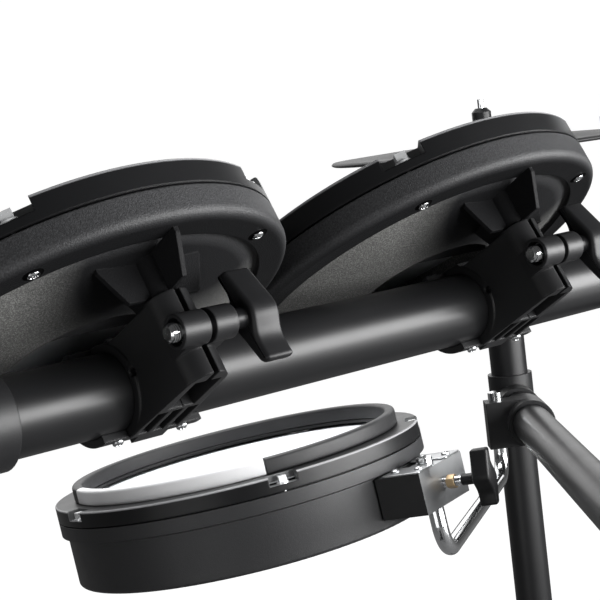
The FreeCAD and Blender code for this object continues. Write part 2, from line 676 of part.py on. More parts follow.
def snare_shell(prefix, outer):
    """Deep shell with a closed bottom."""
    inner, edge = edge_corners(outer)
    side = outer - 5
    wall, deep = D["snare_wall"], D["snare_depth"]
    body = turned(prefix + "_shell_body", [
        (outer, -12), (side, -13.5), (side, -deep), (0, -deep), (0, wall - deep), (side - wall, wall - deep),
        (side - wall, -D["ring_depth"])] + edge)
    rounded(body, 3, circle_at(side, -deep))
    return cut(prefix + "_shell", body, bolt_tools(prefix, outer))


def snare_rim(prefix, outer):
    """Raised rubber rim pushed over the inner edge of the hoop."""
    inner = outer - D["rim_seat"] + 0.5
    top = D["hoop_height"]
    ring = turned(prefix + "_rim", [(inner, top), (inner + D["rim_width"], top),
                                    (inner + D["rim_width"], top + D["rim_height"]),
                                    (inner, top + D["rim_height"])])
    for radius in (inner, inner + D["rim_width"]):
        rounded(ring, 3, circle_at(radius, top + D["rim_height"]))
    return ring


def snare(arm_spot):
    """Snare pad with its bracket, the arm that carries it and the wing screw that holds the arm."""
    prefix = "snare"
    outer = D["snare_dia"] / 2
    top = D["side_height"] + D["snare_rise"]
    centre = Vector(D["snare_x"].value, D["snare_y"].value, top.value)
    roll = Rotation(Vector(0, 1, 0), -D["snare_roll"].value)
    tilt = Rotation(Vector(1, 0, 0), -D["snare_tilt"].value) * roll
    frame = Placement(centre, tilt * turn_z(D["snare_heading"].value))
    turn = Placement(Vector(), turn_z(D["snare_turn"].value))
    for item, label in ((snare_shell(prefix, outer), "shell"), (pad_hoop(prefix, outer, outer - D["rim_seat"]), "hoop"),
                        (snare_rim(prefix, outer), "rim"), (pad_head(prefix, outer), "head"),
                        (pad_sensor(prefix, outer), "sensor"), (pad_bolts(prefix, outer, False), "bolts")):
        subpart(item, "%s_%s" % (prefix, label), frame * turn)
    near = outer - 5
    far = near + D["bracket_reach"]
    wide = D["bracket_width"] / 2
    low, plate = -D["bracket_drop"] - D["bracket_height"], D["bracket_plate"]
    eye = far - D["arm_dia"]
    eye_r = D["arm_dia"] / 2 + D["arm_fit"]
    pieces = [
        box("bracket_near", (near - 3, far), (-wide, plate - wide), (low, -D["bracket_drop"])),
        box("bracket_far", (near - 3, far), (wide - plate, wide), (low, -D["bracket_drop"])),
        box("bracket_end", (far - plate, far), (-wide, wide), (low, -D["bracket_drop"])),
        box("bracket_bottom", (near - 3, far), (-wide, wide), (low, low + plate)),
        box("bracket_back", (near - 3, near + plate), (-wide, wide), (low, -D["bracket_drop"])),
        cylinder("bracket_eye", eye_r + 6, D["bracket_height"], at(eye, 0, low))]
    shell_clear = cylinder("bracket_shell_clear", near, D["snare_depth"], at(0, 0, -D["snare_depth"]))
    eye_bore = cylinder("bracket_eye_bore", eye_r, D["bracket_height"] + 2, at(eye, 0, low - 1))
    screw_level = low + D["bracket_height"] / 2
    screw_bore = rod_x("bracket_screw_bore", D["stud_dia"] / 2 + D["stud_fit"], eye, far + 20, 0, screw_level)
    bracket = cut("snare_bracket", fused("bracket_solid", pieces), [shell_clear, eye_bore, screw_bore])
    subpart(bracket, "snare_bracket", frame)
    screw = wing_screw("snare_screw", eye_r + 0.2, D["arm_dia"] + D["shank_gap"], D["snare_shank"])
    subpart(screw, "snare_wing_screw", frame * at(eye, 0, screw_level))
    post_foot = frame.multVec(Vector(eye.value, 0, low.value - 12))
    post_head = frame.multVec(Vector(eye.value, 0, -D["bracket_drop"].value + 6))
    drop = Vector(post_foot - post_head).normalize()
    grip_foot = D["side_height"] - BORE_R - D["joint_wall"]
    level = min((post_foot + drop * D["arm_bend"].value).z,
                (grip_foot - D["arm_bend"] - D["arm_clear"]).value)
    below = post_head + drop * ((level - post_head.z) / drop.z)
    path = [post_head, below, Vector(arm_spot.x, arm_spot.y, level),
            Vector(arm_spot.x, arm_spot.y, D["side_height"].value + D["arm_rise"].value)]
    subpart(bent_rod("snare_arm", path, D["arm_dia"].value / 2, D["arm_bend"].value), "snare_arm")
    report_frame("snare", frame)
    report_frame("snare_eye", frame * at(eye, 0, screw_level))
    report_frame("snare_arm", Placement(arm_spot, Rotation()))


def bent_rod(name, path, radius, bend, extras=()):
    """Round rod along a path whose corners are bent to a radius, joined to extra shapes on its tip."""
    edges = []
    start = path[0]
    for corner, after in zip(path[1:-1], path[2:]):
        back = Vector(start - corner).normalize()
        ahead = Vector(after - corner).normalize()
        half = back.getAngle(ahead) / 2
        trim = bend / math.tan(half)
        first, last = corner + back * trim, corner + ahead * trim
        centre = corner + Vector(back + ahead).normalize() * (bend / math.sin(half))
        middle = centre + Vector(corner - centre).normalize() * bend
        edges.append(Part.LineSegment(start, first).toShape())
        edges.append(Part.Arc(first, middle, last).toShape())
        start = last
    edges.append(Part.LineSegment(start, path[-1]).toShape())
    section = Part.Wire([Part.Circle(path[0], path[1] - path[0], radius).toShape()])
    shape = Part.Wire(edges).makePipeShell([section], True, False)
    if not shape.isValid() or shape.Volume < 0:
        raise ValueError("rod " + name + " did not close")
    for extra in extras:
        shape = shape.fuse(extra)
    item = DOC.addObject("Part::Feature", name)
    item.Shape = shape.removeSplitter() if extras else shape
    return item


def ball_level():
    """Height of the ball seat's centre under the bell, where the hole's lower edge rests on the ball."""
    ball, hole = D["ball_dia"].value / 2, D["cymbal_hole"].value / 2
    return D["bell_height"].value - D["cymbal_skin"].value - 3 - math.sqrt(ball * ball - hole * hole)


def cymbal_pad(name, diameter, frame):
    """Rubber cymbal with a bell, a sloping bow and a skirt under the bell that rocks on a cross pin."""
    outer, hole = diameter / 2, D["cymbal_hole"] / 2
    bell, foot = D["bell_dia"] / 2, D["bell_foot_dia"] / 2
    top, bow, edge, skin = D["bell_height"], D["bow_height"], D["cymbal_edge"], D["cymbal_skin"]
    seat = D["ball_dia"] / 2 + D["skirt_gap"]
    rim = seat + D["skirt_wall"]
    body = turned(name + "_disc", [
        (hole, top), (hole, top - skin - 3), (seat, top - skin - 3), (seat, D["skirt_foot"]),
        (rim, D["skirt_foot"]), (rim, top - skin - 4), (foot - 4, bow - skin),
        (outer - 3, -edge), (outer, 0), (outer, edge), (outer - 2, edge * 2), (foot, bow), (bell, top)])
    rounded(body, 12, circle_at(foot, bow))
    rounded(body, 5, circle_at(bell, top))
    bore = cylinder(name + "_pin_bore", D["pin_dia"] / 2 + D["pin_fit"], rim * 2 + 2,
                    at(0, -rim - 1, ball_level(), ALONG_Y))
    subpart(cut(name, body, [bore]), name, frame)


def cymbal_nut(name, frame):
    """Knurled nut on the threaded tip above the bell."""
    bore, outer = D["tip_dia"] / 2 + 0.05, D["nut_dia"] / 2
    base = D["bell_height"] + D["nut_gap"]
    top = base + D["nut_height"]
    subpart(turned(name, [(bore, base), (outer - 3, base), (outer, base + 3), (outer, top - 4),
                          (outer - 4, top), (bore, top)]), name, frame)


def tip_shapes(frame):
    """Threaded tip, ball seat and cross pin that carry a cymbal, with the rod's end and the ball's centre."""
    tip, rod, ball = D["tip_dia"].value / 2, D["rod_dia"].value / 2, D["ball_dia"].value / 2
    level = ball_level()
    neck = level - math.sqrt(ball * ball - rod * rod)
    thread = Part.makeCylinder(tip, D["tip_length"].value, Vector(0, 0, level))
    seat = Part.makeSphere(ball - D["ball_fit"].value, Vector(0, 0, level))
    length = D["pin_length"].value
    pin = Part.makeCylinder(D["pin_dia"].value / 2, length, Vector(0, -length / 2, level), Vector(0, 1, 0))
    shapes = [thread, seat, pin]
    for shape in shapes:
        shape.Placement = frame * shape.Placement
    return shapes, frame.multVec(Vector(0, 0, neck)), frame.multVec(Vector(0, 0, level))


def cymbal_on_arm(name, x, y, foot, rise, heading):
    """Arm that rises from a post, leans out and ends in a tilted tip with the cymbal and its nut."""
    out = turn_z(heading).multVec(Vector(1, 0, 0))
    lean = turn_z(heading) * Rotation(Vector(0, 1, 0), D["cymbal_lean"].value)
    base = Vector(as_size(x).value, as_size(y).value, foot.value)
    knee = base + Vector(0, 0, rise.value)
    elbow = knee + out * D["boom_out"].value + Vector(0, 0, D["boom_up"].value)
    centre = elbow + lean.multVec(Vector(0, 0, 48))
    frame = Placement(centre, lean)
    shapes, seat, ball = tip_shapes(frame)
    path = [base - Vector(0, 0, D["rod_depth"].value), knee, elbow, seat]
    arm = bent_rod(name + "_arm", path, D["rod_dia"].value / 2, D["boom_bend"].value, shapes)
    subpart(arm, name + "_arm")
    cymbal_pad(name + "_pad", D["cymbal_dia"], frame)
    cymbal_nut(name + "_nut", frame)
    report_frame(name, Placement(ball, lean))
    report_frame(name + "_arm", Placement(base, Rotation()))


def hi_hat():
    """Rod on the right rear post with the hi-hat pad."""
    frame = at(D["rear_post_x"], D["rear_post_y"], D["hat_height"])
    shapes, seat, ball = tip_shapes(frame)
    base = Vector(seat.x, seat.y, REAR_TOP.value - D["rod_depth"].value)
    shape = Part.makeCylinder(D["rod_dia"].value / 2, seat.z - base.z, base)
    for extra in shapes:
        shape = shape.fuse(extra)
    rod = DOC.addObject("Part::Feature", "hihat_rod")
    rod.Shape = shape.removeSplitter()
    subpart(rod, "hihat_rod")
    cymbal_pad("hihat_pad", D["hat_dia"], frame)
    cymbal_nut("hihat_nut", frame)
    report_frame("hihat", Placement(ball, Rotation()))


def kick():
    """Free-standing bass drum tower with its pad and a pedal."""
    frame = at(D["kick_x"], D["kick_y"], 0)
    wide, deep, thick = D["kick_base_width"] / 2, D["kick_base_depth"], D["kick_base_thick"]
    leg_x, leg_r = D["kick_leg_x"], D["kick_leg_dia"] / 2
    level, shell_r = D["kick_level"], D["kick_shell_dia"] / 2
    reach = D["kick_shell_depth"] / 2 + D["kick_pad_thick"] + D["pedal_gap"] - D["pedal_post"]
    pieces = [box("kick_base", (-wide, wide), (reach - deep, reach), (0, thick)),
              cylinder("kick_shell", shell_r, D["kick_shell_depth"],
                       at(0, -D["kick_shell_depth"] / 2, level, ALONG_Y))]
    for side, name in ((-1, "a"), (1, "b")):
        pieces.append(cylinder("kick_leg_" + name, leg_r, D["kick_leg_height"], at(side * leg_x, 0, 0)))
    for number, height in enumerate((level - 50, level + 50)):
        pieces.append(rod_x("kick_bar_%d" % number, leg_r - 3, -leg_x, leg_x, 0, height))
    subpart(fused("kick_tower", pieces), "kick_tower", frame)
    face = D["kick_shell_depth"] / 2
    subpart(cylinder("kick_pad", D["kick_pad_dia"] / 2, D["kick_pad_thick"]), "kick_pad",
            frame * at(0, face, level, ALONG_Y))
    pedal(frame * at(0, face + D["kick_pad_thick"] + D["pedal_gap"], 0))


def pedal(frame):
    """Pedal with its frame, the sprung footboard and the beater on its axle."""
    half, length = D["pedal_width"] / 2, D["pedal_length"]
    post, axle, axle_r = D["pedal_post"], D["axle_level"], D["axle_dia"] / 2
    heel = D["heel_level"]
    heel_r = D["heel_pin_dia"] / 2
    pieces = [box("pedal_sole", (-half, half), (-post, length + 40), (0, 4))]
    for side, name in ((-1, "a"), (1, "b")):
        inner, outer = side * half, side * (half + post)
        limits = (outer, inner) if side < 0 else (inner, outer)
        pieces.append(box("pedal_post_" + name, limits, (-post, post), (0, axle + post)))
        pieces.append(box("pedal_cheek_" + name, limits, (length - 12, length + 12), (0, heel + 12)))
    bores = [rod_x("pedal_axle_bore", axle_r + D["axle_fit"], -80, 80, 0, axle),
             rod_x("pedal_heel_bore", heel_r + D["axle_fit"], -80, 80, length, heel)]
    subpart(cut("pedal_frame", fused("pedal_frame_solid", pieces), bores), "pedal_frame", frame)
    board_foot = heel_r + 1
    board = box("board_plate", (3 - half, half - 3), (20 - length, 12),
                (board_foot, board_foot + D["board_thick"]))
    heel_barrel = rod_x("board_barrel", heel_r + 4, 3 - half, half - 3)
    heel_pin = rod_x("board_pin", heel_r, -half - post + 1, half + post - 1)
    tilt = Rotation(Vector(1, 0, 0), -D["board_slope"].value)
    subpart(fused("pedal_footboard", [board, heel_barrel, heel_pin]), "pedal_footboard",
            frame * at(0, length, heel, tilt))
    reach = D["beater_length"]
    swing = Rotation(Vector(1, 0, 0), -D["beater_back"].value)
    beater = [rod_x("beater_axle", axle_r, -half - post + 1, half + post - 1),
              rod_x("beater_hub", axle_r + 6, -12, 12),
              cylinder("beater_rod", D["beater_rod_dia"] / 2, reach),
              cylinder("beater_head", D["beater_dia"] / 2, D["beater_depth"],
                       at(0, -D["beater_depth"] / 2, reach, ALONG_Y))]
    subpart(fused("pedal_beater", beater), "pedal_beater", frame * at(0, 0, axle, swing))
    report_frame("pedal_axle", frame * at(0, 0, axle))
    report_frame("pedal_heel", frame * at(0, length, heel))


def centre_kit():
    """Moves every sub-part so that the middle of the kit's footprint stands on the origin."""
    whole = FreeCAD.BoundBox()
    for item in SUBPARTS:
        whole.add(item.Shape.BoundBox)
    move = Placement(Vector(-whole.Center.x, -whole.Center.y, -whole.ZMin), Rotation())
    for item in SUBPARTS:
        item.Placement = move * item.Placement
    return move


def export_kit(move):
    """Checks every object and writes one file for each sub-part."""
    DOC.recompute()
    for item in DOC.Objects:
        if "Invalid" in item.State or "Error" in item.State:
            raise ValueError("%s is not in order: %s" % (item.Label, item.State))
    os.makedirs("parts", exist_ok=True)
    for item in SUBPARTS:
        if item.Shape.isNull() or not item.Shape.isValid() or not item.Shape.Solids:
            raise ValueError("%s has no valid shape" % item.Label)
        item.Shape.exportStep("parts/%s.step" % item.Label)
        print("subpart", item.Label, len(item.Shape.Solids), round(item.Shape.Volume))
    for name, spot, ahead, up in FRAMES:
        spot = move.multVec(spot)
        print("frame", name, *["%.4f" % value for value in (*spot, *ahead, *up)])
    print("frame origin", *["%.4f" % value for value in move.Base])


rack_tubes()
rack_joints()
rubber_feet()
snare_arm_spot = arm_collars()
toms()
snare(snare_arm_spot)
cymbal_on_arm("crash", D["front_post_x"], 0, D["crash_post_top"], D["crash_rise"], 50)
cymbal_on_arm("ride", -D["rear_post_x"], D["rear_post_y"], REAR_TOP, D["ride_rise"], -20)
hi_hat()
kick()
DOC.recompute()
export_kit(centre_kit())
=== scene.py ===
import json
import math

import bmesh
import bpy
import numpy as np
from bpy.props import FloatProperty, FloatVectorProperty, IntProperty, PointerProperty
from mathutils import Matrix, Vector


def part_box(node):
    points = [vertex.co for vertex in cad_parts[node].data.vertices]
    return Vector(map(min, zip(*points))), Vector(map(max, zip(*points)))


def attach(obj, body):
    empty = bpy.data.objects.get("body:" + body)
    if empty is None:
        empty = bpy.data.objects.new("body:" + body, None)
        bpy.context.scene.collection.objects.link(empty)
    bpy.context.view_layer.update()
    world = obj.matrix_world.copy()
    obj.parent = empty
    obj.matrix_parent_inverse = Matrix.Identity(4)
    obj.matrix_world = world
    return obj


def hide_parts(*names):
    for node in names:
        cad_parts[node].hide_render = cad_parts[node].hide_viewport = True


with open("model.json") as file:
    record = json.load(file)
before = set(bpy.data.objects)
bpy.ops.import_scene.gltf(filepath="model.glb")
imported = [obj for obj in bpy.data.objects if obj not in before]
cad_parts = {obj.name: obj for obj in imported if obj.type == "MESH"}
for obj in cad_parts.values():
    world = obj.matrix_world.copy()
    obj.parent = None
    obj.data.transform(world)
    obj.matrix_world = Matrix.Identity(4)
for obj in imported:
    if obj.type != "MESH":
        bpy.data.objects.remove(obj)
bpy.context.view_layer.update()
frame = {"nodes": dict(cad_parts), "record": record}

bl_info = {
    "name": "Electronic Drum Kit Dresser",
    "version": (1, 0, 0),
    "blender": (4, 5, 0),
    "location": "View3D > Sidebar > Drum Kit",
    "description": "Dresses the solid frame of an electronic drum kit with finishes and fine pieces",
    "category": "Object",
}

NODES = frame["nodes"]
JOINTS = {joint["name"]: joint for joint in frame["record"]["behaviour"]["joints"]}
TOMS = ("tom_left", "tom_right", "tom_floor")
TUBES = ("front_tube", "side_tube_left", "side_tube_right", "front_post_left", "front_post_right",
         "rear_post_left", "rear_post_right")

# Places on the solid frame, in millimetres and degrees, in the frame of the clamp, pad or cymbal.
MM = 0.001
SOCKET_REACH, SEAM_RISE = 49.6, 56.8    # from a clamp's tube to its socket, and up to the seam of its pad
MOUNT_REACH = 81.4                      # from a tom's axis to its mounting post
STUD_PLACE = (0, -66, -3.6)             # where the wing screw crosses the slit of a clamp
LUG_SCREW = (18.5, 4, 22.6)             # clamp screw on one of the four lugs
UNDERSIDE, BAND_STEP = -16.2, 2.4       # lowest level of a tom shell, and the rise of its bolt band
BASE_SCREW_CIRCLE = 107.5
BASE_SCREW_ANGLES = (-54, 18, 90, 162, 234)
FIN_SHADE_ZONES = ((0, 34, 66), (45, 35, 85))  # place along the tube, and radii where the painted shade round the mount's fins turns to pale plastic
CUT_DEPTH, CUT_SKIN = 11.9, 0.4         # a hoop's cut-outs, counted inwards from its outer radius
CUT_LEVELS = (6.2, 14.2)
HIGHLIGHT_DEPTH, HIGHLIGHT_WIDTH = (1.9, 1.0), (1.6, 0.6)  # where a hoop's painted highlight line starts and is full
TOM_BRIDGE, SNARE_BRIDGE = 100, 147     # half lengths of the sensor bridges
SNARE_OUTER = 165
EYE_REACH, EYE_DROP = 185, 31.7         # from the snare's axis and seam to the eye of its bracket
RIM_INNER, RIM_SEAM, RIM_OUTER = 138, 142, 147
RIM_LOW, RIM_HIGH = 14.4, 27.9
RIM_LIGHT, RIM_GAP = (232, 313), 0.4    # angles of the rim's light part
BRACKET_WALL = 39.5                     # the bracket is dark beyond this distance from its middle
FLANGE_SPAN, FLANGE_LEVELS = (163, 199), (-14.2, -12.8)
FLANGE_SIDE, FLANGE_HALF = 26, 14
FLANGE_SCREWS = (170, 192)
HOLE_RADIUS, HOLE_LEVEL, BALL_RADIUS = 6, 12, 9.5   # seat of a cymbal on its ball
BELL_RADIUS, BELL_LEVEL, EDGE_LEVEL = 36, 9.2, 3
CYMBALS = (("crash", 152, "crash_arm"), ("ride", 152, "ride_arm"), ("hihat", 160, "rack"))
BEATER_REST, BEATER_HEAD = -42, 98      # lean at rest, and where the felt starts above the axle

# Stage: places in metres from the middle of the front tube; a light's power, width and height follow.
LIGHTS = (
    ("key", (1.10, -1.62, 0.12), 148, 3.0, 0.9),
    ("back", (1.6, 2.4, 1.1), 52, 4.4, 2.4),
    ("low", (1.3, -1.0, -0.45), 5, 1.4, 0.6),
    ("left", (-1.8, -0.3, -0.4), 13, 1.6, 1.2),
)
SNARE_LAMP_PLACE, SNARE_LAMP_POWER = (0.05, 0.05, 0.6), 3.2     # place from the middle of the snare's head
SNARE_LAMP_SIZE, SNARE_LAMP_SPREAD = 0.5, 110
WORLD_LIGHT, WORLD_SEEN = 0.08, 1.05
FLOOR_LIGHT, FLOOR_SEEN = 0.10, 1.0
FLOOR_RINGS, FLOOR_SIDES = (0.001, 2, 6, 20, 60, 160), 64
CAMERA_PLACE, CAMERA_LENS = (-0.5855, -0.6429, 0.1147), 100.7
CAMERA_RIGHT, CAMERA_AHEAD = (0.7433, -0.6581, -0.1199), (0.6494, 0.7530, -0.1064)


def length(name, default, words):
    """Size in metres shown in the panel."""
    return FloatProperty(name=name, default=default, description=words, unit="LENGTH", precision=5)


def tint(name, default, words):
    """Linear colour shown in the panel."""
    return FloatVectorProperty(name=name, default=default, description=words, subtype="COLOR", size=3,
                               min=0, max=1)


class DrumKitSizes(bpy.types.PropertyGroup):
    """Sizes of the fine pieces."""
    head_level: length("Head level", 9 * MM, "Height of a head above the seam of its pad")
    hoop_top: length("Hoop top", 14.4 * MM, "Height of a hoop's upper edge above the seam of its pad")
    head_skin: length("Head skin", 0.5 * MM, "Thickness of the woven head")
    tom_head: length("Tom head radius", 107.4 * MM, "Radius of a tom head with its ring")
    tom_radius: length("Tom radius", 118 * MM, "Outer radius of a tom's hoop")
    bowl_radius: length("Bowl radius", 100.8 * MM, "Radius where the bolt band steps up to the bowl")
    snare_head: length("Snare head radius", 154.4 * MM, "Radius of the snare head with its ring")
    thread_radius: length("Thread radius", 4.02 * MM, "Root radius of the stud's thread")
    thread_depth: length("Thread depth", 0.45 * MM, "Height of the stud's thread")
    thread_pitch: length("Thread pitch", 1.25 * MM, "Rise of the stud's thread in one turn")
    nut_flats: length("Nut flats", 10.6 * MM, "Width across the flats of the clamp nut")
    screw_head: length("Screw head radius", 2.7 * MM, "Radius of a clamp screw's head")
    weave_pitch: length("Weave pitch", 1.15 * MM, "Distance between threads of a head")
    groove_count: IntProperty(name="Cymbal grooves", default=15, min=3, max=40,
                              description="Rings moulded in the playing zone of a cymbal")


class DrumKitColours(bpy.types.PropertyGroup):
    """Colours of the finishes."""
    shell: tint("Shell", (0.0215, 0.0217, 0.0228), "Textured plastic of the shells")
    clamp: tint("Clamp", (0.0085, 0.0086, 0.0092), "Moulded plastic of clamps, joints and handles")
    bowl: tint("Bowl", (0.078, 0.078, 0.0755), "Ground of the speckled bowl under a tom")
    hoop: tint("Hoop", (0.0058, 0.0059, 0.0064), "Satin plastic of the hoops")
    # the hoop edge colour is a painted highlight along each hoop's upper outer edge
    edge: tint("Hoop edge highlight", (0.30, 0.30, 0.31), "Painted highlight on the upper edge of the hoops")
    brass: tint("Brass", (0.45, 0.33, 0.19), "Nut on the snare's wing screw")
    paint: tint("Tube paint", (0.0070, 0.0071, 0.0076), "Satin paint of the rack tubes")
    rubber: tint("Rubber", (0.0090, 0.0090, 0.0095), "Black rubber")
    chrome: tint("Chrome", (0.78, 0.79, 0.80), "Plated steel")
    steel: tint("Steel", (0.52, 0.53, 0.54), "Plain steel")
    mesh: tint("Head mesh", (0.78, 0.80, 0.83), "Woven head")
    insert: tint("Rim insert", (0.80, 0.80, 0.81), "Light part of the snare's rim")
    felt: tint("Felt", (0.035, 0.035, 0.037), "Felt washers and beater")
    floor: tint("Floor", (0.06, 0.06, 0.061), "Studio floor")


def sizes():
    return bpy.context.scene.drum_kit_sizes


def colours():
    return bpy.context.scene.drum_kit_colours


# Frames of the pads, clamps and cymbals, read from the joints and boxes of the solid frame.

def joint_point(name):
    return np.array(JOINTS[name]["pos_m"], float)


def joint_axis(name):
    axis = np.array(JOINTS[name]["axis"], float)
    return axis / np.linalg.norm(axis)


def frame_matrix(origin, ahead, up):
    """Matrix whose columns are the local x, y = up cross ahead, and z directions with their origin."""
    matrix = np.eye(4)
    matrix[:3, 0] = ahead
    matrix[:3, 1] = np.cross(up, ahead)
    matrix[:3, 2] = up
    matrix[:3, 3] = origin
    return matrix


def shift(x, y, z):
    """Move by millimetres."""
    matrix = np.eye(4)
    matrix[:3, 3] = (x * MM, y * MM, z * MM)
    return matrix


def turn(axis, angle):
    """Turn by degrees about a named axis."""
    return np.array(Matrix.Rotation(math.radians(angle), 4, axis))


def placed(points, matrix):
    """Grid of points moved by a matrix."""
    return points @ matrix[:3, :3].T + matrix[:3, 3]


def clamp_frame(prefix):
    """Clamp frame of a tom: on the tube's axis, x along the tube, z along the post."""
    return frame_matrix(joint_point(prefix + "_tilt"), joint_axis(prefix + "_tilt"),
                        joint_axis(prefix + "_swivel"))


def pad_frame(prefix):
    """Pad frame of a tom: on the pad's axis, at the seam between shell and hoop."""
    return clamp_frame(prefix) @ shift(0, MOUNT_REACH - SOCKET_REACH, SEAM_RISE)


def snare_frame():
    """Pad frame of the snare, with x towards its arm."""
    eye = frame_matrix(joint_point("snare_swivel"), joint_axis("snare_handle_turn"),
                       joint_axis("snare_swivel"))
    return eye @ shift(-EYE_REACH, 0, EYE_DROP)


def cymbal_frame(prefix):
    """Frame of a cymbal, with z along the threaded tip; the edge of its hole lies on the ball of the rod."""
    ball = joint_point(prefix + "_rock")
    low, high = (np.array(corner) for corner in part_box(prefix + "_nut"))
    up = (low + high) / 2 - ball
    up /= np.linalg.norm(up)
    side = joint_axis(prefix + "_rock")
    ball_level = HOLE_LEVEL - math.sqrt(BALL_RADIUS ** 2 - HOLE_RADIUS ** 2)
    return frame_matrix(ball, np.cross(side, up), up) @ shift(0, 0, -ball_level)


# Surfaces as whole arrays.

class Pieces:
    """Collects grids of points, with their texture coordinates, into one mesh."""

    def __init__(self):
        self.points, self.faces, self.coords, self.slots, self.count = [], [], [], [], 0

    def grid(self, points, uv=None, close_u=False, close_v=False, slot=0):
        """Adds a grid of points (rows, columns, 3); neighbours share a quad, and a closed side wraps."""
        rows, columns = points.shape[:2]
        index = np.arange(rows * columns).reshape(rows, columns) + self.count
        across = np.concatenate([index, index[:1]]) if close_u else index
        across = np.concatenate([across, across[:, :1]], axis=1) if close_v else across
        quads = np.stack([across[:-1, :-1], across[1:, :-1], across[1:, 1:], across[:-1, 1:]], -1)
        if uv is None:
            uv = np.stack(np.meshgrid(np.linspace(0, 1, rows), np.linspace(0, 1, columns),
                                      indexing="ij"), -1)
        self.points.append(points.reshape(-1, 3))
        self.coords.append(uv.reshape(-1, 2))
        self.faces.append(quads.reshape(-1, 4))
        self.slots.append(np.full(quads.size // 4, slot))
        self.count += rows * columns
        return self

    def piece(self, name, matrix, body, slot, materials, smooth=40):
        """Makes the object in its place and rides it on a body; its slot argument is not used."""
        points = placed(np.concatenate(self.points), matrix)
        faces = np.concatenate(self.faces)
        mesh = bpy.data.meshes.new(name)
        mesh.from_pydata(points.tolist(), [], faces.tolist())
        mesh.polygons.foreach_set("material_index", np.concatenate(self.slots).astype(np.int32))
        layer = mesh.uv_layers.new(name="UVMap")
        layer.data.foreach_set("uv", np.concatenate(self.coords)[faces.ravel()].ravel())
        for material in materials:
            mesh.materials.append(material)
        item = bpy.data.objects.new(name, mesh)
        bpy.context.scene.collection.objects.link(item)
        tidy_mesh(mesh)
        mesh.shade_smooth()
        mesh.set_sharp_from_angle(angle=math.radians(smooth))
        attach(item, body)
        return item


def tidy_mesh(mesh):
    """Merges doubled points at seams and poles, drops flat faces and points all faces outwards."""
    work = bmesh.new()
    work.from_mesh(mesh)
    bmesh.ops.remove_doubles(work, verts=work.verts, dist=1e-6)
    bmesh.ops.dissolve_degenerate(work, dist=1e-7, edges=work.edges)
    bmesh.ops.recalc_face_normals(work, faces=work.faces)
    work.to_mesh(mesh)
    work.free()


def round_angles(count):
    """Even angles round a full turn."""
    return np.radians(np.linspace(0, 360, count, endpoint=False))


def polar(radius, angles, height):
    """Points (r cos a, r sin a, h) with a row for each angle; radius and height run along the rows."""
    radius, angles, height = np.broadcast_arrays(np.atleast_2d(radius), angles[:, None],
                                                 np.atleast_2d(height))
    return np.stack([radius * np.cos(angles), radius * np.sin(angles), height], -1)


def revolved(profile, count=96, start=0.0, end=360.0):
    """Turns a profile of (radius, height) about z: x = r cos a, y = r sin a, over the angles given."""
    profile = np.asarray(profile, float) * MM
    full = abs(end - start) >= 360
    angles = np.radians(np.linspace(start, end, count, endpoint=not full))
    return polar(profile[:, 0], angles, profile[:, 1]), full


def capped(points):
    """Closes both ends of a swept section with fans to the section's middle."""
    first, last = points[:1].mean(1, keepdims=True), points[-1:].mean(1, keepdims=True)
    count = points.shape[1]
    return np.concatenate([np.repeat(first, count, 1), points, np.repeat(last, count, 1)])


def rounded_profile(corners, radius, steps=4, share=0.45):
    """Corner points of a profile with each inner corner replaced by a quadratic bend of that radius, which
    takes at most a share of the sides that meet there."""
    corners = np.asarray(corners, float)
    result = [corners[:1]]
    blend = np.linspace(0, 1, steps + 1)[:, None]
    for before, corner, after in zip(corners[:-2], corners[1:-1], corners[2:]):
        back, ahead = before - corner, after - corner
        reach = min(radius, np.linalg.norm(back) * share, np.linalg.norm(ahead) * share)
        first = corner + back / np.linalg.norm(back) * reach
        last = corner + ahead / np.linalg.norm(ahead) * reach
        result.append((1 - blend) ** 2 * first + 2 * blend * (1 - blend) * corner + blend ** 2 * last)
    result.append(corners[-1:])
    return np.concatenate(result)


def hex_prism(flats, profile, count=72, corner=0.56):
    """Six-sided nut: radius a / cos of the angle from the flat's middle, cut back at the corners, then scaled
    and lifted by a profile; a negative scale is the plain radius of a bore."""
    angles = round_angles(count)
    sector = (angles % (math.pi / 3)) - math.pi / 6
    radius = np.minimum(flats / 2 / np.cos(sector), flats * corner)
    scale, height = np.asarray(profile, float).T
    return polar(np.where(scale > 0, radius[:, None] * scale, -scale * MM), angles, height * MM)


def threaded(radius, depth, pitch, start, end, per_turn=28, per_pitch=8):
    """Helical thread along z: radius plus depth times a triangle wave of (z / pitch - angle / turn)."""
    angles = round_angles(per_turn)
    heights = np.linspace(start, end, max(4, int((end - start) / pitch * per_pitch)))
    phase = (heights / pitch - angles[:, None] / (2 * math.pi)) % 1
    ridge = 1 - np.abs(2 * phase - 1)
    fade = np.clip((end - heights) / pitch, 0, 1)
    return polar(radius + depth * ridge * fade, angles, heights)


def moulded(outline, low, high, bevel, rows=5):
    """Outline (x, y) swept along z between two levels, drawn in along its normals by a quarter circle at
    both ends and closed there by fans to the middle."""
    ahead = np.roll(outline, -1, 0) - np.roll(outline, 1, 0)
    normal = np.stack([ahead[:, 1], -ahead[:, 0]], -1)
    normal /= np.maximum(np.linalg.norm(normal, axis=1, keepdims=True), 1e-9)
    turning = outline[:, 0] @ np.roll(outline[:, 1], -1) - outline[:, 1] @ np.roll(outline[:, 0], -1)
    normal *= np.sign(turning)
    bend = np.linspace(0, math.pi / 2, rows)
    inset = bevel * np.concatenate([1 - np.sin(bend), (1 - np.sin(bend))[::-1]])
    rise = bevel * (1 - np.cos(bend))
    level = np.concatenate([low + rise, (high - rise)[::-1]])
    flat = outline[:, None, :] - normal[:, None, :] * inset[None, :, None]
    points = np.concatenate([flat, np.repeat(level[None, :, None], len(outline), 0)], -1)
    first, last = points[:, :1].mean(0, keepdims=True), points[:, -1:].mean(0, keepdims=True)
    ends = [np.repeat(middle, len(outline), 0) for middle in (first, last)]
    return np.concatenate([ends[0], points, ends[1]], 1) * MM


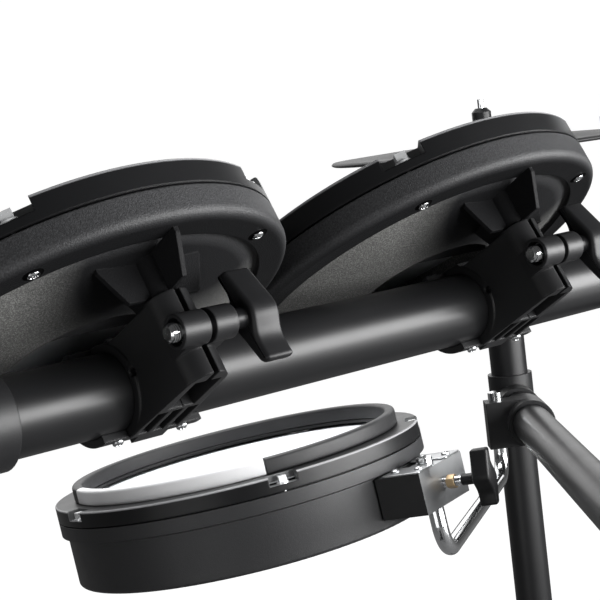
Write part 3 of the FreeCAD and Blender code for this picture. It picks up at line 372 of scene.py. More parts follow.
def slab(low, high, bevel, squareness=0.16):
    """Plate with round corners: a superellipse |x/a|^n + |y/b|^n = 1 as the outline of a moulded bar."""
    low, high = np.asarray(low, float), np.asarray(high, float)
    middle, half = (low + high) / 2, (high - low) / 2
    angles = round_angles(64)
    wave = np.stack([np.cos(angles), np.sin(angles)], -1)
    outline = middle[:2] + np.sign(wave) * np.abs(wave) ** squareness * half[:2]
    return moulded(outline, low[2], high[2], bevel)


def wing_outline(reach, waist, radius):
    """Two offset wings seen along the screw: a leaning bar whose ends swing to opposite sides."""
    side = np.array([(-0.97 * reach, -0.2 * waist), (0.02 * reach, -waist), (0.5 * reach, -0.3 * waist),
                     (reach, -0.44 * waist)])
    corners = np.concatenate([side, -side])
    start = (corners[-1:] + corners[:1]) / 2
    return rounded_profile(np.concatenate([start, corners, start]), radius, 5)[:-1]


# Finishes.

class Finish:
    """Small builder for a node material on Object or UV coordinates."""

    def __init__(self, name, colour, roughness=0.5, metallic=0.0, coords="Object", gloss=0.32):
        self.material = bpy.data.materials.new(name)
        self.material.use_nodes = True
        self.nodes, self.links = self.material.node_tree.nodes, self.material.node_tree.links
        self.shader = self.nodes["Principled BSDF"]
        self.set("Base Color", (*colour, 1))
        self.set("Roughness", roughness)
        self.set("Metallic", metallic)
        self.set("Specular IOR Level", gloss)
        self.coords = self.nodes.new("ShaderNodeTexCoord").outputs[coords]
        self.normal = None
        self.material.diffuse_color = (*colour, 1)

    def feed(self, socket, value):
        """Links a socket to another, or sets it to a plain value."""
        if isinstance(value, bpy.types.NodeSocket):
            self.links.new(value, socket)
        else:
            socket.default_value = value

    def set(self, name, value):
        """Feeds an input of the shader."""
        self.feed(self.shader.inputs[name], value)

    def node(self, kind, **inputs):
        """Adds a node and feeds its inputs by name."""
        node = self.nodes.new("ShaderNode" + kind)
        for name, value in inputs.items():
            self.feed(node.inputs[name.replace("_", " ")], value)
        return node

    def noise(self, scale, detail=2.0, roughness=0.55):
        return self.node("TexNoise", Vector=self.coords, Scale=scale, Detail=detail,
                         Roughness=roughness).outputs["Fac"]

    def grains(self, scale):
        """Distance to the nearest cell centre, for pebbled moulding texture."""
        return self.node("TexVoronoi", Vector=self.coords, Scale=scale).outputs["Distance"]

    def spread(self, value, low, high):
        """Maps 0..1 onto a range."""
        return self.node("MapRange", Value=value, To_Min=low, To_Max=high).outputs["Result"]

    def between(self, value, low, high):
        """Rises from 0 to 1 while a value goes from low to high."""
        return self.node("MapRange", Value=value, From_Min=low, From_Max=high).outputs["Result"]

    def maths(self, operation, first, second):
        node = self.node("Math")
        node.operation = operation
        self.feed(node.inputs[0], first)
        self.feed(node.inputs[1], second)
        return node.outputs[0]

    def vector(self, operation, *values):
        """Vector operation on sockets or plain triples; lengths and dot products come back as numbers."""
        node = self.node("VectorMath")
        node.operation = operation
        for socket, value in zip(node.inputs, values):
            self.feed(socket, value)
        return node.outputs["Value" if operation in ("LENGTH", "DOT_PRODUCT") else "Vector"]

    def height(self, matrix):
        """Level above the origin of a pad's frame."""
        away = self.vector("SUBTRACT", self.coords, tuple(matrix[:3, 3]))
        return self.vector("DOT_PRODUCT", away, tuple(matrix[:3, 2]))

    def from_axis(self, matrix):
        """Distance to the z axis of a frame."""
        away = self.vector("SUBTRACT", self.coords, tuple(matrix[:3, 3]))
        return self.vector("LENGTH", self.vector("CROSS_PRODUCT", away, tuple(matrix[:3, 2])))

    def blend(self, factor, first, second):
        """Colour between two colours by a factor; either colour may itself be a socket."""
        node = self.node("Mix")
        node.data_type = "RGBA"
        self.feed(node.inputs["Factor"], factor)
        ends = [socket for socket in node.inputs if socket.type == "RGBA"]
        for socket, value in zip(ends, (first, second)):
            self.feed(socket, value if isinstance(value, bpy.types.NodeSocket) else (*value, 1))
        return [socket for socket in node.outputs if socket.type == "RGBA"][0]

    def edges(self, radius):
        """Softens sharp edges in the shading, as a moulded or painted edge does."""
        node = self.node("Bevel", Radius=radius)
        node.samples = 4
        self.normal = node.outputs["Normal"]
        return self

    def bump(self, height, strength, distance):
        """Raises the surface in the shading, on top of earlier bumps and softened edges."""
        node = self.node("Bump", Height=height, Strength=strength, Distance=distance)
        if self.normal is not None:
            self.feed(node.inputs["Normal"], self.normal)
        self.normal = node.outputs["Normal"]
        return self

    def rough(self, value, low, high):
        self.set("Roughness", self.spread(value, low, high))
        return self

    def colour(self, factor, first, second):
        self.set("Base Color", self.blend(factor, first, second))
        return self

    def done(self):
        if self.normal is not None:
            self.set("Normal", self.normal)
        return self.material


def lighter(colour, factor):
    """Colour times a factor, with no channel above one."""
    return tuple(min(1.0, channel * factor) for channel in colour)


def worn(name, colour, shades, patches, rough, blotches, pebbles=None, bumps=(), edge=None, metallic=0.0,
         gloss=0.32):
    """Finish of noise: colour between two shades in patches and roughness over a range in blotches, both
    (scale, detail), then pebbles (scale, strength, depth), bumps (scale, detail, strength, depth) and
    softened edges."""
    made = Finish(name, colour, metallic=metallic, gloss=gloss)
    if edge:
        made.edges(edge)
    if pebbles:
        made.bump(made.grains(pebbles[0]), *pebbles[1:])
    for scale, detail, strength, depth in bumps:
        made.bump(made.noise(scale, detail), strength, depth)
    made.rough(made.noise(*blotches), *rough)
    made.colour(made.noise(*patches), *(lighter(colour, shade) for shade in shades))
    return made.done()


def woven_finish(tone):
    """Two crossed sets of threads, the higher of which shows."""
    mesh = Finish("woven_head", tone.mesh, coords="UV")
    lines = []
    for angle in (0, math.pi / 2):
        turned = mesh.node("Mapping", Vector=mesh.coords, Rotation=(0, 0, angle)).outputs[0]
        wave = mesh.node("TexWave", Vector=turned, Scale=math.pi / (10 * sizes().weave_pitch))
        lines.append(wave.outputs["Fac"])
    weave = mesh.maths("MAXIMUM", *lines)
    mesh.bump(weave, 0.35, 0.0003).colour(weave, lighter(tone.mesh, 0.72), tone.mesh)
    return mesh.rough(weave, 0.72, 0.55).done()


def felt_finish(tone):
    """Dark felt with a soft nap."""
    felt = Finish("felt", tone.felt, 0.95)
    felt.bump(felt.noise(2200, 6, 0.7), 0.6, 0.0008)
    felt.colour(felt.noise(700, 5, 0.7), tone.felt, lighter(tone.felt, 2.2))
    felt.set("Sheen Weight", 0.3)
    return felt.done()


def foam_finish(tone):
    """Open foam, shaded cell by cell."""
    foam = Finish("foam", lighter(tone.felt, 0.8), 0.9)
    cells = foam.grains(700)
    return foam.bump(cells, 0.7, 0.001).colour(cells, tone.felt, lighter(tone.felt, 0.5)).done()


def recess_painted_shade_finish(tone):
    """Painted shade: a nearly black seat round a screw, standing in for the shade in its recess."""
    dark = lighter(tone.rubber, 0.1)
    recess = Finish("screw_recess", dark, 0.9, gloss=0.02)
    return recess.colour(recess.noise(400, 2), dark, lighter(tone.rubber, 0.2)).done()


def finish_set():
    """All finishes that are the same wherever they lie, by name."""
    tone = colours()
    return {
        "plastic": worn("textured_plastic", tone.shell, shades=(1, 1.6), patches=(900, 2),
                        rough=(0.40, 0.53), blotches=(60, 3), pebbles=(1500, 0.22, 0.00025),
                        bumps=[(420, 4, 0.12, 0.0004)], edge=0.0007),
        "clamp": worn("clamp_plastic", tone.clamp, shades=(1, 1.35), patches=(35, 4),
                      rough=(0.34, 0.50), blotches=(90, 4), pebbles=(2200, 0.16, 0.0002), edge=0.0013),
        "shank": worn("satin_hoop", tone.hoop, shades=(1, 1.4), patches=(20, 3),
                      rough=(0.32, 0.42), blotches=(45, 3), bumps=[(1400, 3, 0.10, 0.00015)],
                      edge=0.0013, gloss=0.25),
        "handle": worn("handle_plastic", tone.clamp, shades=(1, 1.3), patches=(80, 3),
                       rough=(0.30, 0.46), blotches=(120, 3), bumps=[(1600, 3, 0.10, 0.0002)],
                       edge=0.0010, gloss=0.22),
        "paint": worn("satin_tube_paint", tone.paint, shades=(1, 1.3), patches=(12, 3),
                      rough=(0.30, 0.40), blotches=(30, 4),
                      bumps=[(2600, 2, 0.08, 0.0001), (260, 3, 0.05, 0.0002)]),
        "rubber": worn("black_rubber", tone.rubber, shades=(1, 1.6), patches=(40, 4),
                       rough=(0.50, 0.68), blotches=(70, 4), bumps=[(1500, 4, 0.2, 0.0003)], edge=0.0008),
        "rim": worn("rim_rubber", tone.rubber, shades=(1.6, 2.6), patches=(40, 4),
                    rough=(0.42, 0.58), blotches=(70, 4), bumps=[(1500, 4, 0.14, 0.0003)], edge=0.0008),
        "cymbal": worn("cymbal_rubber", tone.rubber, shades=(1, 1.5), patches=(25, 3),
                       rough=(0.46, 0.60), blotches=(50, 3), bumps=[(1800, 3, 0.12, 0.0002)]),
        "insert": worn("light_rim", tone.insert, shades=(0.93, 1), patches=(30, 3),
                       rough=(0.38, 0.52), blotches=(80, 4), bumps=[(1500, 4, 0.12, 0.0002)]),
        "chrome": worn("plated_steel", tone.chrome, shades=(0.86, 1), patches=(150, 3),
                       rough=(0.08, 0.22), blotches=(600, 5), bumps=[(900, 3, 0.04, 0.0001)],
                       edge=0.0003, metallic=1.0),
        "bright": worn("bright_plating", tone.chrome, shades=(0.88, 1), patches=(150, 3),
                       rough=(0.18, 0.32), blotches=(600, 5), edge=0.0003, metallic=0.45, gloss=0.5),
        "steel": worn("satin_steel", tone.steel, shades=(0.82, 1), patches=(90, 4),
                      rough=(0.24, 0.42), blotches=(500, 5), bumps=[(1200, 4, 0.06, 0.0001)],
                      edge=0.0004, metallic=1.0),
        "bare": worn("bare_metal", tone.steel, shades=(0.22, 0.34), patches=(90, 4),
                     rough=(0.30, 0.46), blotches=(500, 5), edge=0.0003, metallic=0.35, gloss=0.5),
        "brass": worn("brass", tone.brass, shades=(0.8, 1), patches=(120, 3),
                      rough=(0.24, 0.38), blotches=(500, 4), edge=0.0004, metallic=0.6, gloss=0.5),
        "mesh": woven_finish(tone),
        "felt": felt_finish(tone),
        "foam": foam_finish(tone),
        "recess": recess_painted_shade_finish(tone),
    }


FINISHES = {}


def finish(name):
    """Finish by name; the set is made when the first one is asked for."""
    if not FINISHES:
        FINISHES.update(finish_set())
    return FINISHES[name]


def bowl_finish(prefix, matrix):
    """Textured plastic that turns to a paler speckle, the bowl's own plastic, inside the bolt band; round the
    mount's fins the speckle gives way to painted shade of the fins and post, and the underside of the band is
    painted darker as shade, and duller."""
    tone = colours()
    bowl = Finish(prefix + "_bowl_plastic_with_painted_shade", tone.shell).edges(0.0010)
    wall = bowl.between(bowl.height(matrix), UNDERSIDE * MM, (UNDERSIDE + BAND_STEP) * MM)
    place = bowl.maths("LESS_THAN", bowl.from_axis(matrix), sizes().bowl_radius)
    # painted shade: the pale speckle is held back round the mount, where its fins and post shade the bowl
    for along, start, end in FIN_SHADE_ZONES:
        away = bowl.from_axis(matrix @ shift(along, -MOUNT_REACH, 0))
        place = bowl.maths("MULTIPLY", place, bowl.between(away, start * MM, end * MM))
    specks = bowl.between(bowl.noise(1300, 3, 0.7), 0.45, 0.72)
    pale = bowl.blend(specks, tone.bowl, lighter(tone.bowl, 3.2))
    pebbles = bowl.between(bowl.noise(1100, 3, 0.7), 0.34, 0.70)
    grain = bowl.blend(pebbles, lighter(tone.shell, 0.8), lighter(tone.shell, 2.1))
    # painted shade: towards the band's underside the clamp tone darkens the plastic as shade; the pale
    # speckle is the bowl's own plastic
    bowl.colour(place, bowl.blend(wall, tone.clamp, grain), pale)
    bowl.set("Specular IOR Level", bowl.spread(wall, 0.05, 0.24))
    bowl.bump(bowl.grains(1500), 0.42, 0.0003).bump(bowl.noise(900, 4), 0.22, 0.0003)
    return bowl.rough(bowl.noise(60, 3), 0.45, 0.58).done()


def hoop_finish(prefix, matrix, outer):
    """Satin plastic with a painted highlight: a lighter line along the hoop's upper outer edge, standing in
    for light caught there.
    """
    tone, top = colours(), sizes().hoop_top
    hoop = Finish(prefix + "_satin_hoop_painted_highlight", tone.hoop, gloss=0.25).edges(0.0013)
    level = hoop.between(hoop.height(matrix), *(top - depth * MM for depth in HIGHLIGHT_DEPTH))
    border = hoop.between(hoop.from_axis(matrix), *((outer - width) * MM for width in HIGHLIGHT_WIDTH))
    ground = hoop.blend(hoop.noise(20, 3), tone.hoop, lighter(tone.hoop, 1.4))
    # painted highlight: the edge colour on the upper outer edge stands in for light caught by the rounded
    # edge
    hoop.colour(hoop.maths("MULTIPLY", level, border), ground, tone.edge)
    hoop.bump(hoop.noise(1400, 3), 0.10, 0.00015)
    return hoop.rough(hoop.noise(45, 3), 0.32, 0.42).done()


def paint_node(name, *materials):
    """Gives a solid of the frame its finish."""
    mesh = NODES[name].data
    mesh.materials.clear()
    for material in materials:
        mesh.materials.append(material)


def paint_by_place(name, matrix, chosen, *materials):
    """Gives faces of a solid the second finish where chosen says so of their middles in local millimetres."""
    paint_node(name, *materials)
    mesh = NODES[name].data
    centres = np.empty(len(mesh.polygons) * 3)
    mesh.polygons.foreach_get("center", centres)
    local = placed(centres.reshape(-1, 3), np.linalg.inv(matrix)) / MM
    mesh.polygons.foreach_set("material_index", chosen(local).astype(np.int32))
    mesh.update()


def paint_hoop(prefix, matrix, outer):
    """Satin hoop whose cut-outs show the bare metal under the cover."""
    def bare(local):
        radius, level = np.hypot(local[:, 0], local[:, 1]), local[:, 2]
        inside = (radius > outer - CUT_DEPTH) & (radius < outer - CUT_SKIN)
        return inside & (level > CUT_LEVELS[0]) & (level < CUT_LEVELS[1])

    paint_by_place(prefix + "_hoop", matrix, bare, hoop_finish(prefix, matrix, outer), finish("bare"))


# Shared fine pieces.

def woven_head(name, matrix, body, radius, node):
    """Head as a polar sheet: points (r cos a, r sin a) at the head's level, with a soft rolled rim."""
    level, roll_start, roll_slope = sizes().head_level, 0.97, 0.02
    share = np.concatenate([np.linspace(0.002, roll_start, 26), np.linspace(0.975, 1, 4)])
    ring = share * radius
    drop = np.where(ring > roll_start * radius, (ring / radius - roll_start) * roll_slope, 0)
    points = polar(ring, round_angles(120), level - drop)
    head = Pieces().grid(points, points[..., :2], close_u=True).piece(
        name, matrix, body, "mesh", [finish("mesh")])
    wall = head.modifiers.new("skin", "SOLIDIFY")
    wall.thickness, wall.offset = sizes().head_skin, -1
    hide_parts(node)


def sensor_bridge(name, matrix, body, half, node):
    """Bridge bar with a sensor cup, and the foam cone that reaches up to the head."""
    parts = Pieces()
    parts.grid(slab((-half, -12, -7), (half, 12, -4), 1.0), close_u=True, slot=0)
    cup, full = revolved([(0.01, -4.2), (20, -4.2), (20, -2.4), (18.5, -1.6), (0.01, -1.6)], 64)
    parts.grid(cup, close_u=full, slot=0)
    cone, full = revolved(rounded_profile([(0.01, -2), (17, -2), (16, 1), (10.5, 7.9), (0.01, 8.1)], 1.5), 64)
    parts.grid(cone, close_u=full, slot=1)
    piece = parts.piece(name, matrix, body, "foam", [finish("plastic"), finish("foam")])
    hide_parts(node)


def screw_dome(radius, height):
    """Domed screw head, height times the root of 1 - r squared, with a cross recess as a dip in its crown."""
    roundness, arm_half, arm_reach, dip = 0.92, 0.17, 0.62, 0.42
    rings, angles = np.linspace(0.02, 1, 14), round_angles(48)
    dome = height * np.sqrt(np.clip(1 - (roundness * rings) ** 2, 0, 1))
    across = np.minimum(np.abs(np.sin(angles)), np.abs(np.cos(angles)))
    cross = (across[:, None] * rings < arm_half) & (rings < arm_reach)
    top = polar(radius * rings, angles, dome - np.where(cross, dip * height, 0))
    wall = top[:, -1:, :] * np.array([1, 1, 0])
    return np.concatenate([top, wall], 1)


def screw_head(name, matrix, body, radius, height):
    """Steel screw head on its own."""
    Pieces().grid(screw_dome(radius, height), close_u=True).piece(
        name, matrix, body, "chrome", [finish("steel")])


def base_screws(name, matrix, body):
    """Screws under a tom, each in a seat painted nearly black as the shade of its recess, on a circle in the
    middle of the bolt band.
    """
    parts = Pieces()
    seat, full = revolved([(3.1, 0.25), (3.4, 0.06), (5.0, 0.06), (5.2, -0.2)], 32)
    for angle in BASE_SCREW_ANGLES:
        spot = turn("Z", angle) @ shift(BASE_SCREW_CIRCLE, 0, UNDERSIDE) @ turn("X", 180)
        parts.grid(placed(screw_dome(radius=3.0 * MM, height=1.7 * MM), spot), close_u=True)
        # painted shade: the dark seat stands in for the shade inside each screw's recess
        parts.grid(placed(seat, spot), close_u=full, slot=1)
    parts.piece(name, matrix, body, "chrome", [finish("chrome"), finish("recess")])


def wing_screw(name, matrix, body, node, thread, shank):
    """Wing handle on its black shank, with the threaded stud; thread and shank are spans along the screw."""
    size = sizes()
    wing_reach, wing_waist, wing_corner, wing_depth, wing_bevel = 24, 9.5, 5, 16, 2.2
    shank_radius, stud_radius, tip_radius, tip_length = 4.75, 4, 3.1, 0.8
    parts = Pieces()
    parts.grid(moulded(wing_outline(wing_reach, wing_waist, wing_corner), shank[1], shank[1] + wing_depth,
                       wing_bevel), close_u=True)
    black, full = revolved(rounded_profile([(0.01, shank[0]), (shank_radius, shank[0]),
                                            (shank_radius, shank[1] + 1), (0.01, shank[1] + 1)], 0.6), 48)
    parts.grid(black, close_u=full, slot=1)
    tip = thread[0] - tip_length
    core, full = revolved([(0.01, tip), (tip_radius, tip), (stud_radius, thread[0]), (stud_radius, shank[0]),
                           (0.01, shank[0])], 48)
    parts.grid(core, close_u=full, slot=2)
    parts.grid(threaded(size.thread_radius, size.thread_depth, size.thread_pitch, thread[0] * MM,
                        thread[1] * MM), close_u=True, slot=2)
    piece = parts.piece(name, matrix, body, "handle_plastic",
                        [finish("handle"), finish("shank"), finish("chrome")])
    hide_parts(node)


def stud_nut(name, matrix, body, first, last, material):
    """Six-sided nut on a stud between two levels, chamfered at both ends."""
    near_bore, far_bore, end_scale = -4.5, -4.7, 0.9
    chamfer = math.copysign(0.4, last - first)
    profile = [(near_bore, first), (end_scale, first), (1, first + chamfer), (1, last - chamfer),
               (end_scale, last), (far_bore, last), (near_bore, first)]
    Pieces().grid(hex_prism(sizes().nut_flats, profile), close_u=True).piece(
        name, matrix, body, "steel", [material], smooth=25)


class DRUMKIT_OT_rack(bpy.types.Operator):
    """Finishes the tubes, posts, moulded joints, collars and feet of the rack"""
    bl_idname = "drumkit.rack"
    bl_label = "Rack"

    def execute(self, context):
        for name in TUBES:
            paint_node(name, finish("paint"))
        paint_node("tee_joints", finish("clamp"))
        paint_node("arm_collars", finish("clamp"))
        paint_node("rubber_feet", finish("rubber"))
        paint_node("hihat_rod", finish("chrome"))
        return {"FINISHED"}


class DRUMKIT_OT_toms(bpy.types.Operator):
    """Finishes the tom pads and adds heads, sensors, clamp nuts, threads and screws"""
    bl_idname = "drumkit.toms"
    bl_label = "Toms"

    def execute(self, context):
        for prefix in TOMS:
            self.pad(prefix)
            self.clamp(prefix)
        return {"FINISHED"}

    def pad(self, prefix):
        body, matrix = prefix + "_pad", pad_frame(prefix)
        paint_node(prefix + "_shell", bowl_finish(prefix, matrix))
        paint_hoop(prefix, matrix, sizes().tom_radius / MM)
        paint_node(prefix + "_bolts", finish("bright"))
        paint_node(prefix + "_post", finish("clamp"))
        woven_head(prefix + "_mesh_head", matrix, body, sizes().tom_head, prefix + "_head")
        sensor_bridge(prefix + "_sensor_bridge", matrix, body, TOM_BRIDGE, prefix + "_sensor")
        base_screws(prefix + "_base_screws", matrix, body)

    def clamp(self, prefix):
        body, matrix = prefix + "_mount", clamp_frame(prefix)
        paint_node(prefix + "_clamp", finish("clamp"))
        paint_node(prefix + "_clamp_cap", finish("clamp"))
        along = matrix @ shift(*STUD_PLACE) @ turn("Y", 90)
        wing_screw(prefix + "_wing_handle", along, prefix + "_handle", prefix + "_wing_screw",
                   thread=(-19.4, -9), shank=(14.4, 22))
        stud_nut(prefix + "_clamp_nut", along, body, -9.1, -11.3, finish("steel"))
        side, front, level = LUG_SCREW
        for x, letter in ((-side, "a"), (side, "b")):
            for z, angle, word in ((-level, 180, "lower"), (level, 0, "upper")):
                spot = matrix @ shift(x, front, z) @ turn("X", angle)
                screw_head("%s_%s_screw_%s" % (prefix, word, letter), spot, body,
                           radius=sizes().screw_head, height=2.2 * MM)


class DRUMKIT_OT_snare(bpy.types.Operator):
    """Finishes the snare and makes its rim, head, sensor and bracket screws"""
    bl_idname = "drumkit.snare"
    bl_label = "Snare"

    def execute(self, context):
        body, matrix = "snare_pad", snare_frame()
        paint_node("snare_shell", finish("plastic"))
        paint_hoop("snare", matrix, SNARE_OUTER)
        paint_node("snare_bolts", finish("bright"))
        paint_node("snare_arm", finish("chrome"))
        along = matrix @ shift(EYE_REACH, 0, -EYE_DROP) @ turn("Y", 90)
        wing_screw("snare_wing_handle", along, "snare_handle", "snare_wing_screw",
                   thread=(7.4, 31), shank=(31, 43))
        stud_nut("snare_screw_nut", along, "snare_handle", 17.5, 25, finish("brass"))
        woven_head("snare_mesh_head", matrix, body, sizes().snare_head, "snare_head")
        sensor_bridge("snare_sensor_bridge", matrix, body, SNARE_BRIDGE, "snare_sensor")
        self.rim(matrix, body)
        self.bracket(matrix, body)
        return {"FINISHED"}

    def rim(self, matrix, body):
        """Raised ring of a rounded section: a long dark part and a short light one."""
        profile = rounded_profile([(RIM_SEAM, RIM_LOW), (RIM_OUTER, RIM_LOW), (RIM_OUTER, RIM_HIGH),
                                   (RIM_INNER, RIM_HIGH), (RIM_INNER, RIM_LOW), (RIM_SEAM, RIM_LOW)], 3.2, 6)
        start, end = RIM_LIGHT
        band, _ = revolved(profile, 150, end + RIM_GAP, start - RIM_GAP + 360)
        rim = Pieces().grid(capped(band)).piece("snare_rim_band", matrix, body, "rubber", [finish("rim")])
        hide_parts("snare_rim")
        insert, _ = revolved(profile, 60, start, end)
        Pieces().grid(capped(insert)).piece("snare_rim_insert", matrix, body, "rubber", [finish("insert")])

    def bracket(self, matrix, body):
        """Steel bracket with dark side walls, and its two flanges with their screws."""
        def dark_part(local):
            return np.abs(local[:, 1]) > BRACKET_WALL

        paint_by_place("snare_bracket", matrix, dark_part, finish("steel"), finish("clamp"))
        (start, end), (low, high) = FLANGE_SPAN, FLANGE_LEVELS
        for side, word in ((-FLANGE_SIDE, "near"), (FLANGE_SIDE, "far")):
            flange = slab((start, side - FLANGE_HALF, low), (end, side + FLANGE_HALF, high), 0.5)
            Pieces().grid(flange, close_u=True).piece("snare_flange_" + word, matrix, body, "steel",
                                                      [finish("steel")])
            for along in FLANGE_SCREWS:
                screw_head("snare_%s_screw_%d" % (word, along), matrix @ shift(along, side, high), body,
                           radius=3.6 * MM, height=2.4 * MM)


class DRUMKIT_OT_cymbals(bpy.types.Operator):
    """Makes the grooved cymbals and felts and finishes the arms and nuts"""
    bl_idname = "drumkit.cymbals"
    bl_label = "Cymbals"

    def execute(self, context):
        for prefix, radius, carrier in CYMBALS:
            matrix = cymbal_frame(prefix)
            self.cymbal(prefix, matrix, radius)
            self.felt(prefix, matrix, carrier)
            paint_node(prefix + "_nut", finish("handle"))
        for name in ("crash_arm", "ride_arm"):
            paint_node(name, finish("chrome"))
        return {"FINISHED"}

    def felt(self, prefix, matrix, carrier):
        """Felt washer under the nut: a rounded ring."""
        profile = rounded_profile([(3.8, 21.3), (8.5, 21.3), (8.5, 25.4), (3.8, 25.4), (3.8, 21.3)], 1.4)
        points, full = revolved(profile, 48)
        piece = Pieces().grid(points, close_u=full).piece(prefix + "_felt", matrix, carrier, "foam",
                                                          [finish("felt")])

    def cymbal(self, prefix, matrix, radius):
        """Upper line: bell, then a bow that falls to the edge with a row of cosine grooves."""
        count, bow_end = sizes().groove_count, radius - 2
        groove_end, groove_depth, groove_points, fade_in, fade_out = 0.88, 0.28, 26, 0.06, 0.04
        along = np.linspace(0, 1, groove_points * count + 1)
        spread = BELL_RADIUS + (bow_end - BELL_RADIUS) * along
        height = BELL_LEVEL + (EDGE_LEVEL - BELL_LEVEL) * along
        zone = np.clip(np.minimum(along / fade_in, (groove_end - along) / fade_out), 0, 1)
        waves = 0.5 - 0.5 * np.cos(2 * math.pi * along * count / groove_end)
        height = height - groove_depth * zone * waves
        bell = rounded_profile([(HOLE_RADIUS, HOLE_LEVEL), (HOLE_RADIUS, 20), (16, 20), (34, 9.5),
                                (BELL_RADIUS, BELL_LEVEL)], 6, 8)
        edge = rounded_profile([(bow_end, EDGE_LEVEL), (radius, 1.5), (radius, 0), (radius - 3, -1.5),
                                (30, 4.5), (14.2, 11), (14.2, 1), (10.2, 1), (10.2, HOLE_LEVEL),
                                (HOLE_RADIUS, HOLE_LEVEL)], 1.2, 3)
        profile = np.concatenate([bell, np.stack([spread, height], -1)[1:-1], edge])
        points, full = revolved(profile, 180)
        piece = Pieces().grid(points, close_u=full, close_v=True).piece(
            prefix + "_grooved_pad", matrix, prefix + "_cymbal", "rubber", [finish("cymbal")], 50)
        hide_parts(prefix + "_pad")


class DRUMKIT_OT_bass(bpy.types.Operator):
    """Finishes the bass tower and its pedal"""
    bl_idname = "drumkit.bass"
    bl_label = "Bass tower and pedal"

    def execute(self, context):
        paint_node("kick_tower", finish("paint"))
        paint_node("kick_pad", finish("rubber"))
        paint_node("pedal_frame", finish("paint"))
        paint_node("pedal_footboard", finish("steel"))
        axle = frame_matrix(joint_point("beater_swing"), np.array([1.0, 0, 0]), np.array([0, 0, 1.0]))

        def head_part(local):
            return local[:, 2] > BEATER_HEAD

        paint_by_place("pedal_beater", axle @ turn("X", BEATER_REST), head_part, finish("steel"),
                       finish("felt"))
        return {"FINISHED"}


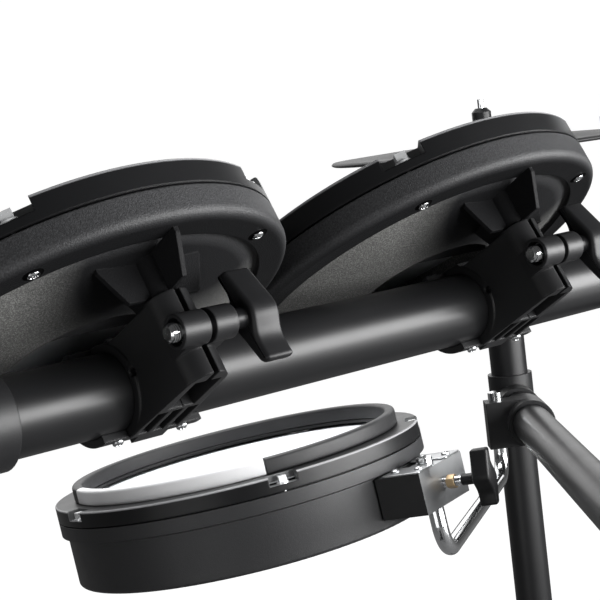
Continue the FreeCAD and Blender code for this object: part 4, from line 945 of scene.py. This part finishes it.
class DRUMKIT_OT_stage(bpy.types.Operator):
    """Sets the floor, the soft studio light and the camera"""
    bl_idname = "drumkit.stage"
    bl_label = "Stage"

    def execute(self, context):
        scene = context.scene
        self.floor(scene)
        self.world(scene)
        self.lights(scene)
        self.snare_lamp(scene)
        self.camera(scene)
        scene.view_settings.view_transform = "Standard"
        return {"FINISHED"}

    def floor(self, scene):
        points = polar(FLOOR_RINGS, round_angles(FLOOR_SIDES), 0.0)
        index = np.arange(points.size // 3).reshape(points.shape[:2])
        wrap = np.concatenate([index, index[:1]])
        quads = np.stack([wrap[:-1, :-1], wrap[:-1, 1:], wrap[1:, 1:], wrap[1:, :-1]], -1).reshape(-1, 4)
        mesh = bpy.data.meshes.new("studio_floor")
        mesh.from_pydata(points.reshape(-1, 3).tolist(), [], quads.tolist())
        tone = Finish("studio_floor", colours().floor)
        tone.rough(tone.noise(3, 3), 0.8, 0.9)
        tone.set("Emission Color", (1, 1, 1, 1))
        seen = tone.node("LightPath").outputs["Is Camera Ray"]
        tone.set("Emission Strength", tone.spread(seen, FLOOR_LIGHT, FLOOR_SEEN))
        mesh.materials.append(tone.done())
        floor = bpy.data.objects.new("studio_floor", mesh)
        scene.collection.objects.link(floor)

    def world(self, scene):
        world = bpy.data.worlds.new("studio")
        world.use_nodes = True
        scene.world = world
        nodes, links = world.node_tree.nodes, world.node_tree.links
        back = nodes["Background"]
        back.inputs["Color"].default_value = (1, 1, 1, 1)
        seen = nodes.new("ShaderNodeMapRange")
        seen.inputs["To Min"].default_value, seen.inputs["To Max"].default_value = WORLD_LIGHT, WORLD_SEEN
        links.new(nodes.new("ShaderNodeLightPath").outputs["Is Camera Ray"], seen.inputs["Value"])
        links.new(seen.outputs["Result"], back.inputs["Strength"])

    def lights(self, scene):
        """Soft boxes, each turned to the middle of the front tube."""
        target = self.middle()
        for name, place, power, width, height in LIGHTS:
            lamp = bpy.data.lights.new(name, "AREA")
            lamp.shape, lamp.energy, lamp.size, lamp.size_y = "RECTANGLE", power, width, height
            item = bpy.data.objects.new(name, lamp)
            item.location = target + Vector(place)
            item.rotation_mode = "QUATERNION"
            item.rotation_quaternion = (target - item.location).to_track_quat("-Z", "Y")
            scene.collection.objects.link(item)

    def snare_lamp(self, scene):
        """Small soft box above the snare, out of the camera's sight."""
        low, high = (Vector(corner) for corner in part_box("snare_head"))
        lamp = bpy.data.lights.new("snare_box", "AREA")
        lamp.energy, lamp.size = SNARE_LAMP_POWER, SNARE_LAMP_SIZE
        lamp.spread = math.radians(SNARE_LAMP_SPREAD)
        item = bpy.data.objects.new("snare_box", lamp)
        item.location = (low + high) / 2 + Vector(SNARE_LAMP_PLACE)
        item.visible_camera = False
        scene.collection.objects.link(item)

    def middle(self):
        """Middle of the front tube, the point that the places of camera and lights are counted from."""
        low, high = (Vector(corner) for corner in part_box("front_tube"))
        return (low + high) / 2

    def camera(self, scene):
        """Camera from the audience side, with its right, up and back directions as columns."""
        data = bpy.data.cameras.new("view")
        data.sensor_width, data.lens = 36, CAMERA_LENS
        data.clip_start, data.clip_end = 0.05, 400
        ahead = Vector(CAMERA_AHEAD).normalized()
        up = Vector(CAMERA_RIGHT).normalized().cross(ahead).normalized()
        item = bpy.data.objects.new("view", data)
        matrix = Matrix((ahead.cross(up), up, -ahead)).transposed().to_4x4()
        matrix.translation = self.middle() + Vector(CAMERA_PLACE)
        item.matrix_world = matrix
        scene.collection.objects.link(item)
        scene.camera = item


OPERATORS = (DRUMKIT_OT_rack, DRUMKIT_OT_toms, DRUMKIT_OT_snare, DRUMKIT_OT_cymbals, DRUMKIT_OT_bass,
             DRUMKIT_OT_stage)


class DRUMKIT_PT_panel(bpy.types.Panel):
    bl_idname = "DRUMKIT_PT_panel"
    bl_label = "Drum Kit"
    bl_space_type = "VIEW_3D"
    bl_region_type = "UI"
    bl_category = "Drum Kit"

    def draw(self, context):
        for operator in OPERATORS:
            self.layout.operator(operator.bl_idname)
        for group in (context.scene.drum_kit_sizes, context.scene.drum_kit_colours):
            column = self.layout.column()
            for name in group.bl_rna.properties.keys():
                if name not in ("rna_type", "name"):
                    column.prop(group, name)


CLASSES = (DrumKitSizes, DrumKitColours, *OPERATORS, DRUMKIT_PT_panel)


def register():
    for item in CLASSES:
        bpy.utils.register_class(item)
    bpy.types.Scene.drum_kit_sizes = PointerProperty(type=DrumKitSizes)
    bpy.types.Scene.drum_kit_colours = PointerProperty(type=DrumKitColours)


def unregister():
    del bpy.types.Scene.drum_kit_colours
    del bpy.types.Scene.drum_kit_sizes
    for item in reversed(CLASSES):
        bpy.utils.unregister_class(item)


def main():
    register()
    bpy.ops.drumkit.rack()
    bpy.ops.drumkit.toms()
    bpy.ops.drumkit.snare()
    bpy.ops.drumkit.cymbals()
    bpy.ops.drumkit.bass()
    bpy.ops.drumkit.stage()


if __name__ == "__main__":
    main()
